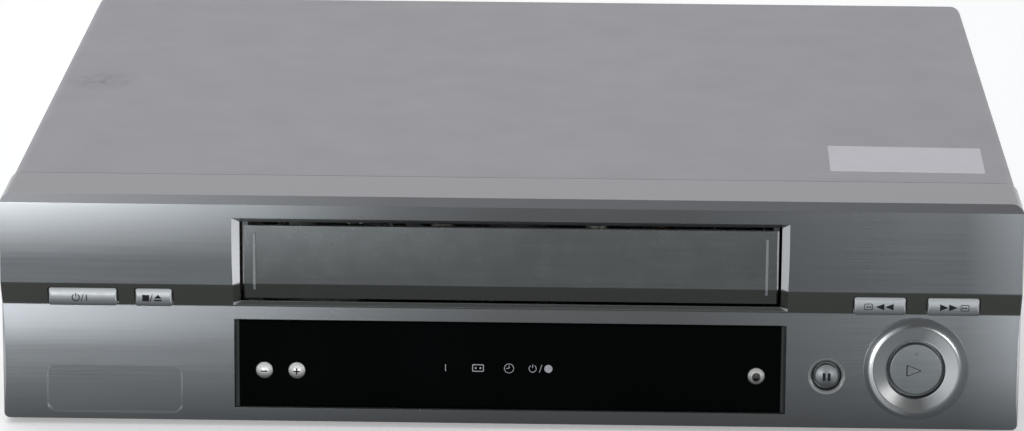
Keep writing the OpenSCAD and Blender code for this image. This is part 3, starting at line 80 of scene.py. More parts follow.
# %% Set up the camera
PICTURE_WIDTH = 1024
FOCAL_PIXELS = 4357.415
CAMERA_PLACE = (0.038844, -1.798703, 0.559347)
look_down, turn, roll = 0.281755, 0.0234845, 0.00534589


def add_object(name, data):
    """Puts a new object with this data into the scene."""
    made = bpy.data.objects.new(name, data)
    bpy.context.scene.collection.objects.link(made)
    return made


right_flat = Vector((math.cos(turn), math.sin(turn), 0))
ahead_flat = Vector((-math.sin(turn), math.cos(turn), 0))
up_axis = Vector((0, 0, 1))
ahead = ahead_flat * math.cos(look_down) - up_axis * math.sin(look_down)
above = ahead_flat * math.sin(look_down) + up_axis * math.cos(look_down)
camera_x = right_flat * math.cos(roll) + above * math.sin(roll)
camera_y = above * math.cos(roll) - right_flat * math.sin(roll)

camera_data = bpy.data.cameras.new("photo_camera")
camera_data.sensor_fit = "HORIZONTAL"
camera_data.sensor_width = 36
camera_data.lens = FOCAL_PIXELS / PICTURE_WIDTH * camera_data.sensor_width
camera_data.clip_start, camera_data.clip_end = 0.05, 50
camera = add_object("photo_camera", camera_data)
turned = Matrix((camera_x, camera_y, -ahead)).transposed().to_4x4()
camera.matrix_world = Matrix.Translation(CAMERA_PLACE) @ turned
bpy.context.scene.camera = camera
bpy.context.scene.view_settings.view_transform = "Standard"
print("lens:", round(camera_data.lens, 1), "mm")

# %% [markdown]
# ## Colours and shader nodes
# Colours are easiest to judge as the 0 to 255 values of a picture, but a shader wants linear light, so
# `tone` turns the first into the second. A finish is a small tree of nodes. Each could be clicked
# together by hand; here `add_node` adds one and `feed` gives an input a value or another node's output.

# %% Helpers for colours and nodes
def tone(red, green, blue):
    """A picture's 0 to 255 colour as linear light."""
    def linear(value):
        value /= 255
        return value / 12.92 if value <= 0.04045 else ((value + 0.055) / 1.055) ** 2.4
    return (linear(red), linear(green), linear(blue), 1)


def scaled(colour, factor):
    """The same colour, lighter or darker."""
    return tuple(min(c * factor, 1) for c in colour[:3]) + (1,)


def feed(tree, socket, value):
    """Gives an input a fixed value, or joins another node's output to it."""
    if isinstance(value, bpy.types.NodeSocket):
        tree.links.new(value, socket)
    else:
        socket.default_value = value


def add_node(tree, kind, **settings):
    """Adds a shader node. Settings with a capital are its inputs, the others its properties."""
    made = tree.nodes.new("ShaderNode" + kind)
    for name, value in settings.items():
        if name[0].isupper():
            feed(tree, made.inputs[name.replace("_", " ")], value)
        else:
            setattr(made, name, value)
    return made


def shader_of(material):
    """A material's main shader."""
    return material.node_tree.nodes["Principled BSDF"]


def new_material(name):
    """A material with its node tree and main shader."""
    material = bpy.data.materials.new(name)
    material.use_nodes = True
    return material, material.node_tree, shader_of(material)


print("grey 150 in linear light:", round(tone(150, 150, 150)[0], 3))

# %% [markdown]
# ## Patterns that vary a finish
# No real surface has one even colour. `noise` gives soft blobs, `ranged` sets the two values between
# which they vary, and `blend_colours` mixes two colours by such a pattern. All of them read object
# coordinates, so a pattern stays on a piece that moves. A texture picture could do the same, but it
# would have to be wrapped round every piece.

# %% Helpers for patterns
FIRST_COLOUR, SECOND_COLOUR, MIXED_COLOUR = 6, 7, 2  # a Mix node has sockets for other data too


def place_of(tree):
    """The object coordinates, from one shared node."""
    for found in tree.nodes:
        if found.type == "TEX_COORD":
            return found.outputs["Object"]
    return add_node(tree, "TexCoord").outputs["Object"]


def stretched(tree, scale):
    """Object coordinates scaled along each axis, for streaks and brushing."""
    return add_node(tree, "Mapping", Scale=scale, Vector=place_of(tree)).outputs["Vector"]


def noise(tree, size, detail=3.0, vector=None):
    """Noise whose blobs are about that many metres wide."""
    made = add_node(tree, "TexNoise", Scale=1 / size, Detail=detail, Vector=vector or place_of(tree))
    return made.outputs["Fac"]


def ranged(tree, value, low, high, start=0.3, end=0.7):
    """Turns a pattern's start to end into low to high."""
    made = add_node(tree, "MapRange", From_Min=start, From_Max=end, To_Min=low, To_Max=high,
                    Value=value)
    return made.outputs["Result"]


def maths(tree, operation, first, second):
    """One sum on two patterns, or on a pattern and a number."""
    made = add_node(tree, "Math", operation=operation)
    for socket, value in zip(made.inputs, (first, second)):
        feed(tree, socket, value)
    return made.outputs["Value"]


def blend_colours(tree, amount, first, second):
    """first where the pattern is 0, second where it is 1."""
    made = add_node(tree, "Mix", data_type="RGBA", clamp_factor=True, Factor=amount)
    feed(tree, made.inputs[FIRST_COLOUR], first)
    feed(tree, made.inputs[SECOND_COLOUR], second)
    return made.outputs[MIXED_COLOUR]


def bumped(tree, shader, height, depth, edge=0.0):
    """A height pattern on the surface; edge rounds hard corners in the shading."""
    bump = add_node(tree, "Bump", Distance=depth, Strength=1.0, Height=height)
    if edge:
        bevel = add_node(tree, "Bevel", samples=4, Radius=edge)
        feed(tree, bump.inputs["Normal"], bevel.outputs["Normal"])
    feed(tree, shader.inputs["Normal"], bump.outputs["Normal"])


print("pattern helpers ready")

# %% [markdown]
# ## Masks
# One moulding often shows several finishes, such as paint on its face and bare plastic behind. It could
# be cut into faces with a material each, but a soft border needs a mask: a pattern that is 1 where the
# second finish lies and 0 elsewhere. Some masks go by place, and others by the way the surface faces.

# %% Helpers for masks
X, Y, Z = range(3)
EDGE, ROD_EDGE = 0.2 * MM, 0.1 * MM  # half the width of a mask's usual border


def opposite(tree, mask):
    """1 where a mask is 0, and 0 where it is 1."""
    return maths(tree, "SUBTRACT", 1, mask)


def both(tree, first, second):
    """1 only where two masks are both 1."""
    return maths(tree, "MULTIPLY", first, second)


def either(tree, first, second):
    """1 where at least one of two masks is 1."""
    return maths(tree, "MAXIMUM", first, second)


def past(tree, axis, place, soft=EDGE):
    """0 before a place along an axis and 1 after it."""
    apart = add_node(tree, "SeparateXYZ", Vector=place_of(tree))
    return ranged(tree, apart.outputs[axis], 0, 1, place - soft, place + soft)


def before(tree, axis, place, soft=EDGE):
    """1 before a place along an axis and 0 after it."""
    return opposite(tree, past(tree, axis, place, soft))


def between(tree, axis, low, high, soft=EDGE):
    """1 between two places along an axis and 0 outside."""
    return both(tree, past(tree, axis, low, soft), before(tree, axis, high, soft))


def facing(tree, axis, start, end):
    """0 to 1 as the surface turns towards an axis: by how much its normal points along it."""
    normal = add_node(tree, "NewGeometry").outputs["Normal"]
    apart = add_node(tree, "SeparateXYZ", Vector=normal)
    return ranged(tree, apart.outputs[axis], 0, 1, start, end)


def sideways(tree, start, end):
    """0 to 1 as the surface turns to the left or to the right."""
    return either(tree, facing(tree, X, start, end), facing(tree, X, -start, -end))


def distance(tree, vector, point):
    """How far a coordinate is from a fixed point."""
    made = add_node(tree, "VectorMath", operation="DISTANCE")
    feed(tree, made.inputs[0], vector)
    feed(tree, made.inputs[1], point)
    return made.outputs["Value"]


def within(tree, centre, radius, soft=ROD_EDGE):
    """1 inside a round rod that runs front to back through an x and z, and 0 outside."""
    flattened = stretched(tree, (1, 0, 1))
    away = distance(tree, flattened, (centre[0], 0, centre[1]))
    return ranged(tree, away, 1, 0, radius - soft, radius + soft)


def within_either(tree, centres, radius):
    """1 inside either of two such rods."""
    first, second = centres
    return either(tree, within(tree, first, radius), within(tree, second, radius))


print("mask helpers ready")

# %% [markdown]
# ## One recipe for most finishes
# Paint, plastic and metal differ in a few numbers only: how metallic, how rough, how large the patches
# are and how deep the grain is. One function makes them all, and the special finishes below add to it.

# %% The shared recipe
def finish(name, colour, rough, patch, spread, grain, depth, metallic=0.0, stretch=None, edge=0.0,
           specular=0.5, rough_spread=0.06):
    """A finish with cloudy colour, cloudy gloss and a fine grain."""
    material, tree, shader = new_material(name)
    vector = stretched(tree, stretch) if stretch else None
    clouds = ranged(tree, noise(tree, patch, vector=vector), 0, 1)
    paint = blend_colours(tree, clouds, scaled(colour, 1 - spread), scaled(colour, 1 + spread))
    feed(tree, shader.inputs["Base Color"], paint)
    gloss = ranged(tree, noise(tree, patch / 3), rough - rough_spread, rough + rough_spread)
    feed(tree, shader.inputs["Roughness"], gloss)
    shader.inputs["Metallic"].default_value = metallic
    shader.inputs["Specular IOR Level"].default_value = specular
    bumped(tree, shader, noise(tree, grain, detail=2, vector=vector), depth, edge)
    return material


def recolour(material, mask, colour):
    """Lays a second colour over a finish where the mask is 1."""
    tree = material.node_tree
    socket = shader_of(material).inputs["Base Color"]
    under = socket.links[0].from_socket
    feed(tree, socket, blend_colours(tree, mask, under, colour))


def metal_where(material, mask, low=0.0, high=1.0):
    """Makes a finish low metallic where the mask is 0 and high where it is 1, and so on past them."""
    tree = material.node_tree
    metallic = ranged(tree, mask, low, high, 0, 1)
    metallic.node.clamp = False
    feed(tree, shader_of(material).inputs["Metallic"], metallic)


def dress(material, *names):
    """Gives CAD nodes one material each, in every slot."""
    for name in names:
        slots = nodes[name].data.materials
        for index in range(len(slots)):
            slots[index] = material
        if not slots:
            slots.append(material)
        dressed.add(name)


dressed = set()
print("recipe ready")

# %% [markdown]
# ## The sheet cover
# The cover is thin steel in a matt grey paint with a very fine texture. The recipe alone would do, but
# years of handling leave marks, so two rubbed spots are darker and a wide one is faintly lighter. Noise
# breaks their borders up, because a smooth round spot looks airbrushed.

# %% Paint the cover
GREY = tone(151, 150, 155)
cover_paint = finish("cover_paint", GREY, 0.62, patch=60 * MM, spread=0.012, grain=0.5 * MM,
                     depth=0.02 * MM, edge=0.3 * MM, specular=0.25)


def rubbed_spot(x, y, size, factor):
    """A soft darker or lighter spot on the cover, broken up by noise."""
    tree = cover_paint.node_tree
    near = ranged(tree, distance(tree, place_of(tree), (x, y, cad_high.z)), 1, 0, 0, size)
    broken = both(tree, near, ranged(tree, noise(tree, size / 4), 0, 1))
    recolour(cover_paint, broken, scaled(GREY, factor))


rubbed_spot(-0.1786, 0.0085, 18 * MM, 0.62)
rubbed_spot(-0.078, -0.105, 12 * MM, 0.84)
rubbed_spot(0.03, 0.06, 60 * MM, 1.05)
dress(cover_paint, "top_cover")
print("cover painted")

# %% [markdown]
# ## The silver front
# The front is plastic with a silver paint: fine metal flakes under a thin clear layer. Upright faces
# are left dark. Slopes that turn aside or up, such as the frame of the slot, get a painted highlight,
# and those that turn down get painted shade. A fully metallic shader could mirror the room instead, but
# the look would then hang on the lamps. So the paint is half metal, and masks made from the way the
# surface faces paint these highlights and this shade into its colours. Fine streaks run along its
# length.

# %% A recipe for silver paint
SILVER = tone(52, 56, 59)
# the colour of the painted highlight where the silver turns aside or up
PAINTED_HIGHLIGHT_SILVER = tone(172, 174, 177)
SILVER_ROUGHNESS = 0.27
# the painted highlight on slopes to the left is this share of the full one
LEFT_HIGHLIGHT_SHARE = 0.62  # slopes to the left are less bright than those to the right


def silver(name, colour, rough=SILVER_ROUGHNESS, bright=PAINTED_HIGHLIGHT_SILVER, coat=0.25, **more):
    """Flake paint: half metal, with a thin clear coat, painted highlights where it turns aside or up
    and painted shade where it turns down.
    """
    material = finish(name, colour, rough, metallic=0.6, grain=0.4 * MM, depth=0.0012 * MM,
                      rough_spread=0.02, **more)
    tree, shader = material.node_tree, shader_of(material)
    streaks = noise(tree, 0.9 * MM, detail=2, vector=stretched(tree, (0.02, 1, 1)))
    recolour(material, ranged(tree, streaks, 0, 0.4, 0.35, 0.65), scaled(colour, 1.5))
    # painted highlights where the surface turns aside or up, weaker to the left
    to_left = maths(tree, "MULTIPLY", facing(tree, X, -0.12, -0.5), LEFT_HIGHLIGHT_SHARE)
    aside = either(tree, facing(tree, X, 0.12, 0.5), to_left)
    recolour(material, either(tree, aside, facing(tree, Z, 0.2, 0.6)), bright)
    # painted shade where the surface turns down
    recolour(material, facing(tree, Z, -0.1, -0.5), scaled(colour, 0.4))
    shader.inputs["Coat Weight"].default_value = coat
    shader.inputs["Coat Roughness"].default_value = 0.2
    return material


silver_paint = silver("silver_paint", SILVER, patch=30 * MM, spread=0.04, edge=0.3 * MM)
print("silver paint mixed")

# %% [markdown]
# ## Painted light and shade on the front panel
# Painted highlights lie towards the top of each face at the left end and on the right end, and painted
# shade darkens the middle and the lower edge. The undercut band and the chamfer get painted shade, the
# chamfer a painted highlight towards the left, the rim of the blank recess and the ends of the panel a
# painted highlight, and the frame of the slot a shaded foot with small painted highlights at its
# corners. The ledge on top gets a painted tone of lit grey, duller than the highlight and close to the
# cover's. Each tone is a mask by place, by facing or by both, and a later one lies over those before
# it.

# %% Paint light and shade on the faces of the front panel
BAND = (48.7 * MM, 58.4 * MM, 0.4 * MM)  # the undercut band's foot, top and soft border
tree = silver_paint.node_tree
leftward = before(tree, X, -120 * MM, 75 * MM)
forward = facing(tree, Y, -0.85, -0.93)
blank = both(tree, between(tree, X, -186 * MM, -126 * MM), between(tree, Z, 3 * MM, 27 * MM))
chamfer = both(tree, facing(tree, Z, 0.5, 0.55), past(tree, Z, 90 * MM, 0.5 * MM))
frame_corner_highlights = both(tree, between(tree, X, -112 * MM, 112 * MM),
               between(tree, Z, 47.6 * MM, 50.3 * MM, 0.4 * MM))
ledge = both(tree, facing(tree, Z, 0.85, 0.97), past(tree, Z, 88 * MM, 1 * MM))

painted_light_tones = [
    # painted highlights at the left of the upper face and of the lower one
    (both(tree, leftward, past(tree, Z, 80 * MM, 12 * MM)), tone(122, 126, 129)),
    (both(tree, leftward, between(tree, Z, 40 * MM, 48.6 * MM, 9 * MM)), tone(90, 94, 97)),
    # painted shade in the middle, a painted highlight at the right end
    (both(tree, forward, between(tree, X, -50 * MM, 112 * MM, 45 * MM)), scaled(SILVER, 0.42)),
    (both(tree, forward, past(tree, X, 187 * MM, 10 * MM)), tone(82, 86, 89)),
    # painted highlights on the rim of the blank recess and the ends of the panel, painted shade at its
    # lower edge
    (both(tree, blank, opposite(tree, forward)), tone(112, 116, 118)),
    (sideways(tree, 0.7, 0.95), tone(112, 115, 118)),
    (before(tree, Z, 12 * MM, 14 * MM), scaled(SILVER, 0.4)),
    # painted shade on the chamfer, with a painted highlight towards the left, and on the undercut band
    (chamfer, tone(70, 72, 75)),
    (both(tree, chamfer, leftward), tone(104, 106, 110)),
    (between(tree, Z, *BAND), tone(29, 32, 28)),
    # painted shade on the foot of the slot's frame, painted highlights at its corners, a lit grey on
    # the ledge
    (both(tree, facing(tree, Z, 0.3, 0.6), between(tree, Z, 48 * MM, 53 * MM)), tone(80, 83, 83)),
    (both(tree, sideways(tree, 0.12, 0.5), frame_corner_highlights), tone(150, 153, 156)),
    (ledge, scaled(GREY, 0.71)),
]
for mask, colour in painted_light_tones:
    recolour(silver_paint, mask, colour)
print("face tones:", len(painted_light_tones))

# %% [markdown]
# ## Around the round buttons
# The play button sits in a dished ring, and the pause button in a countersink whose rim keeps a
# toned-down painted highlight. The ring has painted light and shade: a little lighter than the face, a
# strong painted highlight where it looks to the left, painted shade where it looks up and at its foot,
# and painted near-black shade in the slits round both buttons. Masks round the axis of each button,
# which is measured from the model, keep the tones centred even if the button is moved in the CAD
# source.

# %% Paint light and shade on the rings of the round buttons
def middle_of(name):
    """The middle of a CAD node's box."""
    low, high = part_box(name)
    return [(a + b) / 2 for a, b in zip(low, high)]


def axis_of(name):
    """The x and z of a line from front to back through a CAD node's middle."""
    x, _, z = middle_of(name)
    return x, z


play, pause = axis_of("play_button"), axis_of("pause_button")
ring = both(tree, within(tree, play, 20.6 * MM, 0.3 * MM),
            opposite(tree, within(tree, play, 11.3 * MM)))
foot = both(tree, ring, opposite(tree, within(tree, play, 18.4 * MM, 0.5 * MM)))
slits = either(tree, within(tree, pause, 5.9 * MM, 0.2 * MM), within(tree, play, 11.65 * MM))
# painted shade and highlights on the ring, a toned-down painted highlight on the pause's rim, and
# painted shade in the slits
painted_ring_light = [
    (ring, tone(56, 60, 62)),
    (both(tree, ring, facing(tree, Z, -0.12, 0.12)), tone(24, 27, 28)),
    (both(tree, ring, facing(tree, X, 0.05, 0.22)), tone(66, 70, 72)),
    (both(tree, ring, facing(tree, X, -0.03, -0.22)), tone(128, 132, 135)),
    (both(tree, foot, opposite(tree, facing(tree, X, 0.1, 0.5))), tone(50, 53, 55)),
    (within(tree, pause, 7.2 * MM), tone(84, 87, 88)),
    (slits, tone(6, 7, 8)),
]
for mask, colour in painted_ring_light:
    recolour(silver_paint, mask, colour)
print("play button at", [round(v, 4) for v in play])

# %% [markdown]
# ## Where the paint isn't shiny
# Behind its face the moulding is bare black plastic, and the ledge on top is dull. The dish of the ring
# is satin, so that it doesn't mirror the lamps. The slits round the buttons, painted near-black as
# shade,
# are the other way about: a dark metal reflects next to nothing, so they stay black.

# %% Set metal and gloss by masks
dish = both(tree, ring, within(tree, play, 17 * MM, 0.4 * MM))
behind_face = both(tree, past(tree, Y, cad_low.y + 10 * MM), before(tree, Z, 90.5 * MM))
behind_face = both(tree, behind_face, between(tree, X, -196 * MM, 196 * MM))
recolour(silver_paint, behind_face, tone(22, 22, 24))
dull = maths(tree, "ADD", either(tree, ledge, behind_face), maths(tree, "MULTIPLY", dish, 0.5))
metal_where(silver_paint, maths(tree, "SUBTRACT", slits, dull), 0.55, 1.0)
gloss = either(tree, ranged(tree, ledge, SILVER_ROUGHNESS, 0.6, 0, 1),
               ranged(tree, dish, SILVER_ROUGHNESS, 0.62, 0, 1))
feed(tree, shader_of(silver_paint).inputs["Roughness"], gloss)
dress(silver_paint, "front_panel")
print("front panel painted")

# %% [markdown]
# ## Door and window
# The flap of the slot has the same paint, a little darker and brushed along its length, with a painted
# highlight at its upper left and on the rib at each end, and the painted shade of the band runs on
# across it. The window is a dark glossy pane with painted highlights along its two ends. Real tinted
# plastic could be made with transmission, but behind it all is black, so a black gloss with a weak
# reflection looks the same and renders without noise.

# %% Door and window finishes
door_paint = silver("door_paint", tone(38, 42, 43), patch=25 * MM, spread=0.03,
                    stretch=(0.3, 1, 1), edge=0.25 * MM)
tree = door_paint.node_tree
door_highlight = tone(82, 86, 88)
upper_left = both(tree, before(tree, X, -70 * MM, 80 * MM), past(tree, Z, 74 * MM, 14 * MM))
ribs = either(tree, between(tree, X, -100.7 * MM, -99.7 * MM),
              between(tree, X, 99.7 * MM, 100.7 * MM))
# painted highlight at the upper left, repeated on the two ribs, and painted shade along the band
recolour(door_paint, upper_left, door_highlight)
recolour(door_paint, between(tree, Z, *BAND), tone(24, 27, 24))
recolour(door_paint, both(tree, ribs, between(tree, Z, 56 * MM, 79 * MM)), door_highlight)
dress(door_paint, "cassette_door")

window_gloss = finish("window_gloss", tone(1, 2, 2), 0.08, patch=40 * MM, spread=0.3,
                      grain=3 * MM, depth=0.0003 * MM, specular=0.012, rough_spread=0.02,
                      edge=0.2 * MM)
tree = window_gloss.node_tree
# painted highlights on the bevelled ends of the pane
pane_middle = between(tree, X, -106.6 * MM, 106.6 * MM, 0.15 * MM)
recolour(window_gloss, opposite(tree, pane_middle), tone(36, 39, 39))
dress(window_gloss, "display_window")
print("door and window finished")

# %% [markdown]
# ## Buttons
# The bar buttons have the panel's silver paint in a lighter tone, painted light for their round fronts,
# with strong painted highlights, and the round ones weaker painted highlights. The small domes in the
# window are satin metal with a painted reflection: lighter where they face up, for the pale ceiling
# above, and darker where they face down, for the dark pane below. The tuning dome is a ring round a
# hole, where a pen tip presses its switch, and the hole is painted dark as shade.

# %% Button finishes
button_paint = dict(rough=0.42, coat=0.0, patch=6 * MM, spread=0.04)
# the silver paint with painted highlights: lighter on the bars, weaker on the round buttons
bar_silver = silver("bar_silver", tone(84, 87, 89), bright=tone(136, 139, 142), edge=0.4 * MM,
                    **button_paint)
dress(bar_silver, "power_button", "stop_eject_button", "rewind_button", "fast_forward_button")
round_silver = silver("round_silver", tone(54, 58, 60), bright=tone(98, 102, 104),
                      edge=0.25 * MM, **button_paint)
dress(round_silver, "play_button", "pause_button")


def dome(name, grey):
    """Satin metal with a painted reflection: lighter where it faces up, darker where it faces down."""
    material = finish(name, tone(70, 71, 71), 0.42, metallic=0.35, patch=3 * MM, spread=0.05,
                      grain=0.3 * MM, depth=0.001 * MM)
    upper = facing(material.node_tree, Z, -0.5, 0.45)
    recolour(material, upper, tone(grey, grey + 1, grey - 1))
    return material


dress(dome("dome_metal", 160), "channel_down_button", "channel_up_button")
holed_dome = dome("holed_dome", 134)
# painted shade in the hole of the tuning dome
hole = within(holed_dome.node_tree, axis_of("tuning_button"), 1.65 * MM)
recolour(holed_dome, hole, tone(9, 10, 10))
dress(holed_dome, "tuning_button")
print("front pieces finished:", len(dressed))

# %% [markdown]
# ## Sheet steel
# The tray, the rear panel, the deck plate and the cassette cage are zinc-coated steel, on which the
# zinc grows faint crystals. Noise would blur them together, and a Voronoi pattern has flat cells with
# clear borders, so it makes them. The tuner's tin box has larger ones.

# %% Zinc-coated steel
def zinc(name, colour, rough, crystal):
    """Zinc-coated sheet: crystals of slightly different brightness."""
    material = finish(name, colour, rough, metallic=0.9, patch=15 * MM, spread=0.05,
                      grain=0.5 * MM, depth=0.004 * MM, edge=0.3 * MM)
    tree = material.node_tree
    cells = add_node(tree, "TexVoronoi", Scale=1 / crystal, Vector=place_of(tree))
    shades = add_node(tree, "SeparateColor", Color=cells.outputs["Color"])
    crystals = ranged(tree, shades.outputs["Red"], 0, 0.5, 0, 1)
    recolour(material, crystals, scaled(colour, 1.3))
    return material


dress(zinc("zinc_sheet", tone(150, 153, 155), 0.42, crystal=4 * MM),
      "base_tray", "rear_panel", "deck_plate", "cassette_cage")
dress(zinc("tin_sheet", tone(176, 178, 178), 0.3, crystal=9 * MM), "tuner_can")
print("sheets finished:", len(dressed))

# %% [markdown]
# ## Plastics and rubber
# The feet, the belt and the two friction rollers are matt black rubber. The reels, the wide sockets and
# the cassette's holder are black moulded plastic, and the gears and guides are a white kind that needs
# no oil. Moulded edges are never quite square, so `edge` rounds them in the shading, which costs less
# than a real bevel on every piece.

# %% Plastic and rubber finishes
dark_rubber = finish("dark_rubber", tone(34, 34, 35), 0.75, patch=4 * MM, spread=0.15,
                     grain=0.4 * MM, depth=0.02 * MM)
dress(dark_rubber, "feet", "drive_belt", "pinch_roller", "idler_wheel")


def moulded(name, colour, rough):
    """Moulded plastic with slightly round edges."""
    return finish(name, colour, rough, patch=8 * MM, spread=0.1, grain=0.5 * MM,
                  depth=0.008 * MM, edge=0.2 * MM)


dress(moulded("black_plastic", tone(30, 30, 32), 0.45), "scart_sockets", "carriage_slides",
      "supply_reel", "takeup_reel", "remote_receiver", "cassette_holder")
dress(moulded("white_plastic", tone(222, 219, 208), 0.4), "cam_gear", "loading_worm",
      "clutch_pulley", "supply_guide", "takeup_guide")
print("plastics finished:", len(dressed))

# %% [markdown]
# ## Sockets
# Each socket at the back mixes materials: a black body with steel pins, a steel sleeve round a white
# insulator, or a sleeve round a red or white ring. One node holds them all, so masks by the distance
# from each socket's axis place the second finish and make it metal or not.

# %% Mains inlet and aerial sockets
STEEL, INSULATOR = tone(188, 188, 184), tone(226, 224, 214)
LOW_Z, HIGH_Z = 30 * MM, 48 * MM  # heights of the two rows of sockets
PIN_SIDE = 4.3 * MM
AERIAL_IN, AERIAL_OUT = (138 * MM, LOW_Z), (162 * MM, LOW_Z)

inlet = moulded("inlet_plastic", tone(24, 24, 26), 0.4)
inlet_x = middle_of("mains_inlet")[X]
pins = within_either(inlet.node_tree, [(inlet_x - PIN_SIDE, LOW_Z), (inlet_x + PIN_SIDE, LOW_Z)],
                     1.25 * MM)
recolour(inlet, pins, tone(190, 190, 188))
metal_where(inlet, pins)
dress(inlet, "mains_inlet")

aerial = finish("aerial_steel", tone(178, 180, 180), 0.3, patch=5 * MM, spread=0.05,
                grain=0.3 * MM, depth=0.003 * MM, edge=0.15 * MM)
tree = aerial.node_tree
insulator = both(tree, within_either(tree, [AERIAL_IN, AERIAL_OUT], 3.9 * MM),
                 past(tree, Y, cad_high.y - 9.5 * MM))
contact = either(tree, within(tree, AERIAL_IN, 1.35 * MM), within(tree, AERIAL_OUT, 1.25 * MM))
recolour(aerial, insulator, INSULATOR)
recolour(aerial, contact, tone(196, 170, 104))
metal_where(aerial, either(tree, opposite(tree, insulator), contact))
dress(aerial, "aerial_sockets")
print("contacts between", round(AERIAL_IN[0], 3), "and", round(AERIAL_OUT[0], 3))

# %% [markdown]
# ## Audio sockets
# The two audio sockets stand one over the other: a steel sleeve round a coloured ring, red for the
# right channel and white for the left, with a hole for the plug's pin that is painted dark as shade.
# The ring tells them apart on every such product, so it is coloured, not stamped.

# %% Audio socket finishes
RING_RADIUS = 3.1 * MM
audio = moulded("audio_plastic", tone(28, 28, 30), 0.45)
tree = audio.node_tree
audio_x = middle_of("audio_sockets")[X]
red_one, white_one = (audio_x, LOW_Z), (audio_x, HIGH_Z)
pair = [red_one, white_one]
outside = past(tree, Y, cad_high.y - 8.2 * MM)
sleeves = both(tree, outside, within_either(tree, pair, 9 * MM))
recolour(audio, sleeves, STEEL)
recolour(audio, both(tree, outside, within(tree, red_one, RING_RADIUS)), tone(176, 34, 30))
recolour(audio, both(tree, outside, within(tree, white_one, RING_RADIUS)), tone(226, 224, 216))
# painted shade in the pin holes
recolour(audio, within_either(tree, pair, 1.65 * MM), tone(10, 10, 10))
metal_where(audio, both(tree, sleeves, opposite(tree, within_either(tree, pair, RING_RADIUS))))
dress(audio, "audio_sockets")
print("sockets finished:", len(dressed))

# %% [markdown]
# ## Boards
# A board is brown resin with a green lacquer below, through which paler tracks show. Real tracks join
# the parts above them, but from below only their pattern is seen, so the borders of a Voronoi pattern
# stand for them.

# %% Board finish
board = finish("board_brown", tone(150, 112, 66), 0.5, patch=10 * MM, spread=0.08,
               grain=0.8 * MM, depth=0.004 * MM)
tree = board.node_tree
under = facing(tree, Z, -0.3, -0.6)
recolour(board, under, tone(44, 88, 52))
cells = add_node(tree, "TexVoronoi", feature="DISTANCE_TO_EDGE", Scale=1 / (7 * MM),
                 Vector=place_of(tree))
tracks = ranged(tree, cells.outputs["Distance"], 1, 0, 0.08, 0.1)
recolour(board, both(tree, under, tracks), tone(96, 132, 72))
dress(board, "key_board", "main_board", "power_board")
print("boards finished:", len(dressed))

# %% [markdown]
# ## What the boards carry
# Chips are black with tin legs, capacitors wear a printed sleeve and a bare top, the transformer is a
# stack of dark sheets with a taped coil, the switches have a pale cap, and the lamps are red and green.
# One node holds both materials of each, so a mask by height, place or facing tells them apart.

# %% Finishes of the components
def two_part(material, mask, colour, metal=0.0):
    """Lays a second colour over part of a finish and, where told, makes that part metal."""
    recolour(material, mask, colour)
    if metal:
        metal_where(material, mask, 0, metal)
    return material


chip = moulded("chip_black", tone(32, 32, 34), 0.5)
legs = before(chip.node_tree, Z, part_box("signal_chips")[0][Z] + 0.9 * MM, 0.1 * MM)
dress(two_part(chip, legs, STEEL, 1.0), "signal_chips")

sleeve = finish("sleeve_blue", tone(38, 48, 84), 0.3, patch=6 * MM, spread=0.1, grain=0.5 * MM,
                depth=0.003 * MM)
bare_top = facing(sleeve.node_tree, Z, 0.85, 0.95)
dress(two_part(sleeve, bare_top, tone(190, 192, 192), 0.9), "board_capacitors", "mains_capacitor")

core = finish("core_steel", tone(92, 88, 84), 0.45, patch=6 * MM, spread=0.1, grain=0.6 * MM,
              depth=0.02 * MM, stretch=(1, 1, 0.05))
tree, core_y = core.node_tree, middle_of("power_transformer")[Y]
in_core = between(tree, Y, core_y - 7.6 * MM, core_y + 7.6 * MM)
coil = both(tree, opposite(tree, in_core), past(tree, Z, 22 * MM))
dress(two_part(core, coil, tone(206, 168, 62)), "power_transformer")

switch = moulded("switch_black", tone(32, 32, 34), 0.5)
cap = before(switch.node_tree, Y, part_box("key_switches")[0][Y] + 0.7 * MM)
dress(two_part(switch, cap, tone(196, 190, 170)), "key_switches")

lens = finish("lamp_lens", tone(150, 30, 24), 0.2, patch=3 * MM, spread=0.1, grain=0.4 * MM,
              depth=0.002 * MM)
green_one = before(lens.node_tree, X, 6 * MM)
dress(two_part(lens, green_one, tone(60, 130, 52)), "indicator_lamps")
print("components finished:", len(dressed))

# %% [markdown]
# ## Turned and stamped metal
# Screws, springs, shafts and arms are bright steel, the heat sink is dull aluminium, the head drum is
# finely turned, and the bearing is brass. Turning leaves rings round the axis: a noise squeezed along
# that axis shows them on the drum's side without a line of geometry.

# %% Metal finishes
bright_steel = finish("bright_steel", tone(186, 188, 190), 0.25, metallic=1.0, patch=5 * MM,
                      spread=0.05, grain=0.3 * MM, depth=0.003 * MM, edge=0.15 * MM)
dress(bright_steel, "cover_screws", "inner_screws", "door_spring", "capstan", "tension_arm",
      "pinch_arm", "idler_arm", "erase_head", "audio_head", "loading_motor")
turned_metal = finish("turned_metal", tone(198, 199, 200), 0.2, metallic=1.0, patch=4 * MM,
                      spread=0.04, grain=0.5 * MM, depth=0.004 * MM, stretch=(0.02, 0.02, 1),
                      edge=0.15 * MM)
dress(turned_metal, "upper_drum", "lower_drum", "drum_rotor")
dull_aluminium = finish("dull_aluminium", tone(168, 170, 174), 0.5, metallic=0.85, patch=10 * MM,
                        spread=0.06, grain=0.5 * MM, depth=0.01 * MM, stretch=(1, 1, 0.1))
dress(dull_aluminium, "heat_sink")
brass = finish("brass", tone(190, 152, 84), 0.3, metallic=1.0, patch=4 * MM, spread=0.08,
               grain=0.3 * MM, depth=0.003 * MM)
dress(brass, "capstan_bearing")
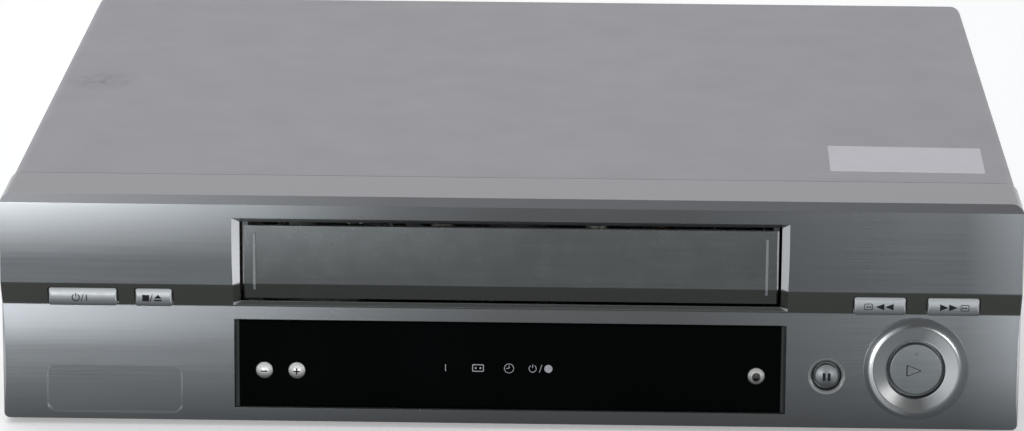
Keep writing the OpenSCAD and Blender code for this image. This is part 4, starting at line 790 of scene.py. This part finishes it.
print("nodes without a finish:", sorted(set(nodes) - dressed))

# %% [markdown]
# ## Plain outlines
# The signs on the buttons and the window are pad-printed. Each is drawn as one or more flat outlines in
# millimetres: a list of corners, x to the right and z up. An outline inside another cuts a hole in it.
# A font could give some of these signs, but drawn ones are exact and need no file.

# %% Plain outlines for signs
def circle(x, z, radius, steps=40):
    return [(x + radius * math.cos(2 * math.pi * i / steps),
             z + radius * math.sin(2 * math.pi * i / steps)) for i in range(steps)]


def bar(x, z, width, height):
    return [(x - width / 2, z - height / 2), (x + width / 2, z - height / 2),
            (x + width / 2, z + height / 2), (x - width / 2, z + height / 2)]


def slash(x, z, height, lean, width):
    return [(x - lean / 2, z - height / 2), (x - lean / 2 + width, z - height / 2),
            (x + lean / 2 + width, z + height / 2), (x + lean / 2, z + height / 2)]


def cross(x, z, arm, half, slit=0.002):
    """A plus sign in three bars, a hair apart: corners in one line would fill badly."""
    width = arm - half - slit
    return [bar(x, z, 2 * half, 2 * arm)] + [
        bar(x + side * (arm - width / 2), z, width, 2 * half) for side in (-1, 1)]


def arrow_right(x, z, width, height):
    return [(x - width / 2, z - height / 2), (x + width / 2, z), (x - width / 2, z + height / 2)]


def arrow_left(x, z, width, height):
    return [(x + width / 2, z - height / 2), (x + width / 2, z + height / 2), (x - width / 2, z)]


def arrow_up(x, z, width, height):
    return [(x - width / 2, z), (x + width / 2, z), (x, z + height)]


def round_box(x, z, width, height, radius, steps=6):
    points = []
    for corner, (side, top) in enumerate(((1, 1), (-1, 1), (-1, -1), (1, -1))):
        for i in range(steps + 1):
            angle = math.pi / 2 * (corner + i / steps)
            points.append((x + side * (width / 2 - radius) + radius * math.cos(angle),
                           z + top * (height / 2 - radius) + radius * math.sin(angle)))
    return points


def softened(points, cut, steps=5):
    """The same outline with every corner rounded by a small curve."""
    rounded = []
    for i, corner in enumerate(points):
        previous, following = points[i - 1], points[(i + 1) % len(points)]
        start = [c + (p - c) * cut for c, p in zip(corner, previous)]
        end = [c + (f - c) * cut for c, f in zip(corner, following)]
        for step in range(steps + 1):
            t = step / steps
            rounded.append(tuple((1 - t) ** 2 * s + 2 * t * (1 - t) * c + t * t * e
                                 for s, c, e in zip(start, corner, end)))
    return rounded


print("corners of a circle:", len(circle(0, 0, 1)))

# %% [markdown]
# ## Signs made of several outlines
# The power sign, the small cassette, the search by marks and the clock are each a few plain outlines
# together. They are the usual signs of such products, drawn anew.

# %% Signs from outlines
def standby(x, z, radius, width, opening=0.55):
    """The power sign: a ring open at the top with a short stroke through the opening."""
    outer, inner, steps = [], [], 30
    for i in range(steps + 1):
        angle = math.pi / 2 + opening + (2 * math.pi - 2 * opening) * i / steps
        for points, reach in ((outer, radius), (inner, radius - width)):
            points.append((x + reach * math.cos(angle), z + reach * math.sin(angle)))
    return [outer + inner[::-1], bar(x, z + radius * 0.65, width, radius * 0.95)]


def cassette_sign(x, z, width, height, line):
    """A small tape cassette: a rounded box with two hubs."""
    hubs = [circle(x + side * width * 0.2, z, height * 0.13, 16) for side in (-1, 1)]
    return [round_box(x, z, width, height, 0.45),
            round_box(x, z, width - 2 * line, height - 2 * line, 0.3)] + hubs


def search_sign(x, z, arrow):
    """The sign for a search by marks: two small arrows in a rounded box."""
    arrows = [arrow(x + side * 0.55, z, 1.0, 0.95) for side in (-1, 1)]
    return [round_box(x, z, 3.4, 2.6, 0.6), round_box(x, z, 2.85, 2.05, 0.4)] + arrows


def clock_sign(x, z, radius, line):
    """A dial with its hands at nine and twelve."""
    hand, half = radius * 0.62, line / 2
    hands = [(x - hand, z - half), (x + half, z - half), (x + half, z + hand),
             (x - half, z + hand), (x - half, z + half), (x - hand, z + half)]
    return [circle(x, z, radius), circle(x, z, radius - line), hands]


print("outlines of the power sign:", len(standby(0, 0, 1, 0.2)))

# %% [markdown]
# ## From an outline to a film
# A printed sign is a film of ink that follows the surface under it. A flat plate would cut through a
# dome or a bowed face. So the outlines are filled as a 2D curve, cut into small triangles, and every
# corner is moved straight onto the CAD surface, found by casting a ray from in front. The film then
# gets a thickness, half of it sunk, and rides on the body of its button. Blender's extrude could give
# it that, but it lists the new faces in another order each time, so the back and the rim are added one
# by one and the mesh is the same in every run.

# %% Cut and lay a film
def filled(name, outlines):
    """A flat mesh inside outlines in millimetres."""
    curve = bpy.data.curves.new(name, "CURVE")
    curve.dimensions, curve.fill_mode = "2D", "BOTH"
    for outline in outlines:
        spline = curve.splines.new("POLY")
        spline.points.add(len(outline) - 1)
        for point, (x, z) in zip(spline.points, outline):
            point.co = (x * MM, z * MM, 0, 1)
        spline.use_cyclic_u = True
    holder = add_object(name + "_outline", curve)
    ready = holder.evaluated_get(bpy.context.evaluated_depsgraph_get())
    mesh = bpy.data.meshes.new_from_object(ready)
    bpy.data.objects.remove(holder)
    mesh.name = name
    return mesh


def cut_small(film, cell, rounds=4):
    """Cuts every edge that is longer than a cell, a few times over."""
    for _ in range(rounds):
        long_edges = [e for e in film.edges if e.calc_length() > cell]
        if not long_edges:
            break
        bmesh.ops.subdivide_edges(film, edges=long_edges, cuts=1)
        bmesh.ops.triangulate(film, faces=film.faces[:])
    bmesh.ops.remove_doubles(film, verts=film.verts[:], dist=0.001 * MM)


def surface_of(name):
    """A search tree of one CAD node's triangles."""
    mesh = nodes[name].data
    return BVHTree.FromPolygons([v.co for v in mesh.vertices],
                                [p.vertices for p in mesh.polygons])


def thicken(film, step):
    """Closes a flat film with a back, one step behind it, and a rim round its border."""
    film.normal_update()
    faces = film.faces[:]
    for face in faces:
        if face.normal.dot(step) > 0:
            face.normal_flip()
    rim = [edge.link_loops[0] for edge in film.edges if edge.is_boundary]
    sides = [(loop.link_loop_next.vert, loop.vert) for loop in rim]
    behind = {vertex: film.verts.new(vertex.co + step) for vertex in film.verts[:]}
    for face in faces:
        film.faces.new([behind[vertex] for vertex in reversed(face.verts[:])])
    for start, end in sides:
        film.faces.new((start, end, behind[end], behind[start]))


def lay_on(name, outlines, on, body, ink, upright=True, proud=0.03 * MM, cell=0.7 * MM):
    """A thin film of ink or paper, laid on a CAD node from in front or above, riding on a body."""
    mesh = filled(name, outlines)
    film = bmesh.new()
    film.from_mesh(mesh)
    cut_small(film, cell)
    ground = surface_of(on)
    out = Vector((0, -1, 0)) if upright else Vector((0, 0, 1))
    for vertex in film.verts:
        across, along, _ = vertex.co
        flat = Vector((across, 0, along)) if upright else Vector((across, along, 0))
        vertex.co = ground.ray_cast(flat + out, -out)[0] + out * proud
    thicken(film, -out * proud * 2)
    film.to_mesh(mesh)
    film.free()
    mesh.materials.clear()
    mesh.materials.append(ink)
    piece = add_object(name, mesh)
    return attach(piece, body)


print("laying helpers ready")

# %% [markdown]
# ## Printed signs
# The button signs are dark grey, and the ones on the window are pale. Ink is a thin matt layer with
# tiny pinholes, so its colour and gloss vary a little too. Small signs and those on domes are cut more
# finely, because a coarse film would stand off a strongly bent surface.

# %% Print the signs
dark_ink = finish("dark_ink", tone(16, 17, 20), 0.7, patch=1.5 * MM, spread=0.2,
                  grain=0.2 * MM, depth=0.002 * MM, specular=0.05)
pale_ink = finish("pale_ink", tone(104, 106, 110), 0.6, patch=1.5 * MM, spread=0.1,
                  grain=0.2 * MM, depth=0.002 * MM, specular=0.1)
BAR_Z, WINDOW_Z = 52.4, 24.8  # heights of the signs in mm
WIND_Z = BAR_Z + 0.1
SLASH, FINE_LINE = 0.32, 0.27
WIND_ARROW = (3.3, 2.7)
COARSE, SMALL = 0.7 * MM, 0.5 * MM  # sizes of the cells that a film is cut into
pause_mm = [v / MM for v in pause]

button_signs = [
    ("power_sign", "power_button", "power_key", COARSE,
     standby(-170.4, BAR_Z, 1.6, 0.38)
     + [slash(-168.0, BAR_Z, 2.9, 0.9, SLASH), bar(-166.2, BAR_Z, 0.42, 2.6)]),
    ("stop_eject_sign", "stop_eject_button", "stop_key", COARSE,
     [bar(-142.9, BAR_Z, 2.75, 2.6), slash(-140.9, BAR_Z, 3.1, 0.9, SLASH),
      arrow_up(-138.1, 52.3, 2.9, 1.6), bar(-138.1, 51.5, 2.9, 0.6)]),
    ("rewind_sign", "rewind_button", "rewind_key", SMALL,
     search_sign(140.1, WIND_Z, arrow_left)
     + [arrow_left(x, WIND_Z, *WIND_ARROW) for x in (144.65, 148.25)]),
    ("forward_sign", "fast_forward_button", "forward_key", SMALL,
     search_sign(177.7, BAR_Z, arrow_right)
     + [arrow_right(x, WIND_Z, *WIND_ARROW) for x in (169.65, 173.2)]),
    ("play_sign", "play_button", "play_key", COARSE,
     [softened(arrow_right(158.8, 26.3, 6.2, 4.9), 0.12),
      softened(arrow_right(158.65, 26.3, 5.0, 3.95), 0.08)]),
    ("pause_sign", "pause_button", "pause_key", SMALL,
     [bar(pause_mm[0] + side * 0.98, pause_mm[1], 1.1, 3.1) for side in (-1, 1)]),
    ("minus_sign", "channel_down_button", "channel_down_key", SMALL, [bar(-96.7, 22.9, 2.6, 0.55)]),
    ("plus_sign", "channel_up_button", "channel_up_key", SMALL, cross(-83.9, 22.9, 1.3, 0.28)),
]
for name, on, body, cell, outlines in button_signs:
    lay_on(name, outlines, on, body, dark_ink, cell=cell)

window_outlines = (
    [bar(-25.3, WINDOW_Z, 0.32, 2.8)] + cassette_sign(-12.5, WINDOW_Z, 4.6, 3.0, 0.35)
    + clock_sign(-0.3, WINDOW_Z, 1.95, 0.25) + standby(9.0, WINDOW_Z, 1.55, FINE_LINE)
    + [slash(12.0, WINDOW_Z, 3.2, 1.0, FINE_LINE), circle(15.2, WINDOW_Z, 1.6)])
lay_on("window_signs", window_outlines, "display_window", "housing", pale_ink, cell=COARSE)
print("signs:", [sign[0] for sign in button_signs] + ["window_signs"])

# %% [markdown]
# ## The paper label
# A pale label is stuck to the right of the cover, not quite square to its edges. It is a film like the
# signs, but laid from above, twice as thick, and with the faint clouds of paper fibres. Each corner is
# given by its x and by how far it lies behind the front.

# %% Stick on the label
LABEL_CORNERS = [(126.4, 49.5), (187.9, 48.2), (188.7, 85.8), (126.9, 87.4)]  # mm
label_paper = finish("label_paper", tone(197, 195, 201), 0.7, patch=8 * MM, spread=0.02,
                     grain=0.5 * MM, depth=0.01 * MM, specular=0.2)
front_line = -0.5 * (cad_high.y - cad_low.y) / MM
label_outline = [(x, front_line + back) for x, back in LABEL_CORNERS]
lay_on("cover_label", [label_outline], "top_cover", "housing", label_paper, upright=False,
       proud=0.06 * MM, cell=20 * MM)
print("front line at", round(front_line, 1), "mm")

# %% [markdown]
# ## Floor and room
# The object stands on a plain white floor in an even room. Brighter lamps could turn a floor white, but
# they would bleach the object too. So floor and room have two looks: a grey one for the light that
# bounces off them, which doesn't light the front from below, and a white one for the camera and for
# reflections, chosen by the kind of ray. The white floor glows a little more far from the lamps, so
# that it stays white up to the horizon, and it keeps the object's shadow.

# %% Lay the floor
def show_white(tree, lit, white, end):
    """Shows the second look to the camera and in gloss and glass, the first to other light."""
    path = add_node(tree, "LightPath")
    seen = either(tree, path.outputs["Is Camera Ray"], path.outputs["Is Glossy Ray"])
    seen = either(tree, seen, path.outputs["Is Transmission Ray"])
    mixed = add_node(tree, "MixShader", Fac=seen)
    feed(tree, mixed.inputs[1], lit.outputs[0])
    feed(tree, mixed.inputs[2], white.outputs[0])
    feed(tree, tree.nodes[end].inputs["Surface"], mixed.outputs[0])


REACH = 6
floor_mesh = bpy.data.meshes.new("floor")
floor_corners = [(-REACH, -REACH, 0), (REACH, -REACH, 0), (REACH, REACH, 0), (-REACH, REACH, 0)]
floor_mesh.from_pydata(floor_corners, [], [(0, 1, 2, 3)])
floor = add_object("floor", floor_mesh)

floor_white, tree, shader = new_material("floor_white")
shader.inputs["Base Color"].default_value = tone(200, 200, 200)
shader.inputs["Roughness"].default_value = 0.9
glow = ranged(tree, distance(tree, place_of(tree), (0, 0, 0)), 0.25, 0.75, 0.8, 3)
eye_white = add_node(tree, "BsdfPrincipled", Base_Color=(0.9, 0.9, 0.9, 1), Roughness=0.9,
                     Emission_Color=(1, 1, 1, 1), Emission_Strength=glow)
show_white(tree, shader, eye_white, "Material Output")
floor_mesh.materials.append(floor_white)
print("floor:", 2 * REACH, "m wide")

# %% [markdown]
# ## The room
# The world is a faint cool light from all around, which fills the shadows, and looks white to the
# camera and in gloss. At a strength of 1 a white background is white in the picture without blooming.

# %% Light the room
FILL_STRENGTH = 0.35
world = bpy.data.worlds.new("room")
bpy.context.scene.world = world
world.use_nodes = True
tree = world.node_tree
fill = tree.nodes["Background"]
fill.inputs["Color"].default_value = (0.93, 0.96, 1.0, 1)
fill.inputs["Strength"].default_value = FILL_STRENGTH
white_room = add_node(tree, "Background", Color=(1, 1, 1, 1), Strength=1.0)
show_white(tree, fill, white_room, "World Output")
print("room ready, fill", FILL_STRENGTH)

# %% [markdown]
# ## Lamps
# A wide soft lamp above lights the cover evenly. Four smaller ones stand low: two far in front, of
# which the stronger left one is mirrored by the bowed silver faces at their upper left, and one at each
# side, which the bevelled frame of the slot and the ring of the play button mirror. One lamp could
# light it all, but low lamps hardly touch the cover, so they can be tuned for the front alone.

# %% Soft lamps
def soft_lamp(name, place, aim, width, height, power):
    """A rectangular lamp that faces a point."""
    data = bpy.data.lights.new(name, "AREA")
    data.shape, data.size, data.size_y, data.energy = "RECTANGLE", width, height, power
    lamp = add_object(name, data)
    lamp.location = place
    lamp.rotation_euler = (Vector(aim) - Vector(place)).to_track_quat("-Z", "Y").to_euler()


FRONT_MIDDLE = (0, cad_low.y, 0.05)
soft_lamp("ceiling_lamp", (-0.5, 0.5, 2.2), (0, 0, 0.05), width=2.4, height=2.0, power=28.5)
soft_lamp("front_left_lamp", (-0.66, -2.1, 0.15), (-0.15, -0.17, 0.06), width=0.4, height=0.28,
          power=38)
soft_lamp("front_right_lamp", (0.8, -2.1, 0.15), (0.15, -0.17, 0.06), width=0.3, height=0.28,
          power=28)
soft_lamp("left_lamp", (-1.7, -0.75, 0.3), FRONT_MIDDLE, width=0.8, height=0.55, power=3)
soft_lamp("right_lamp", (1.7, -0.85, 0.3), FRONT_MIDDLE, width=0.8, height=0.55, power=4)
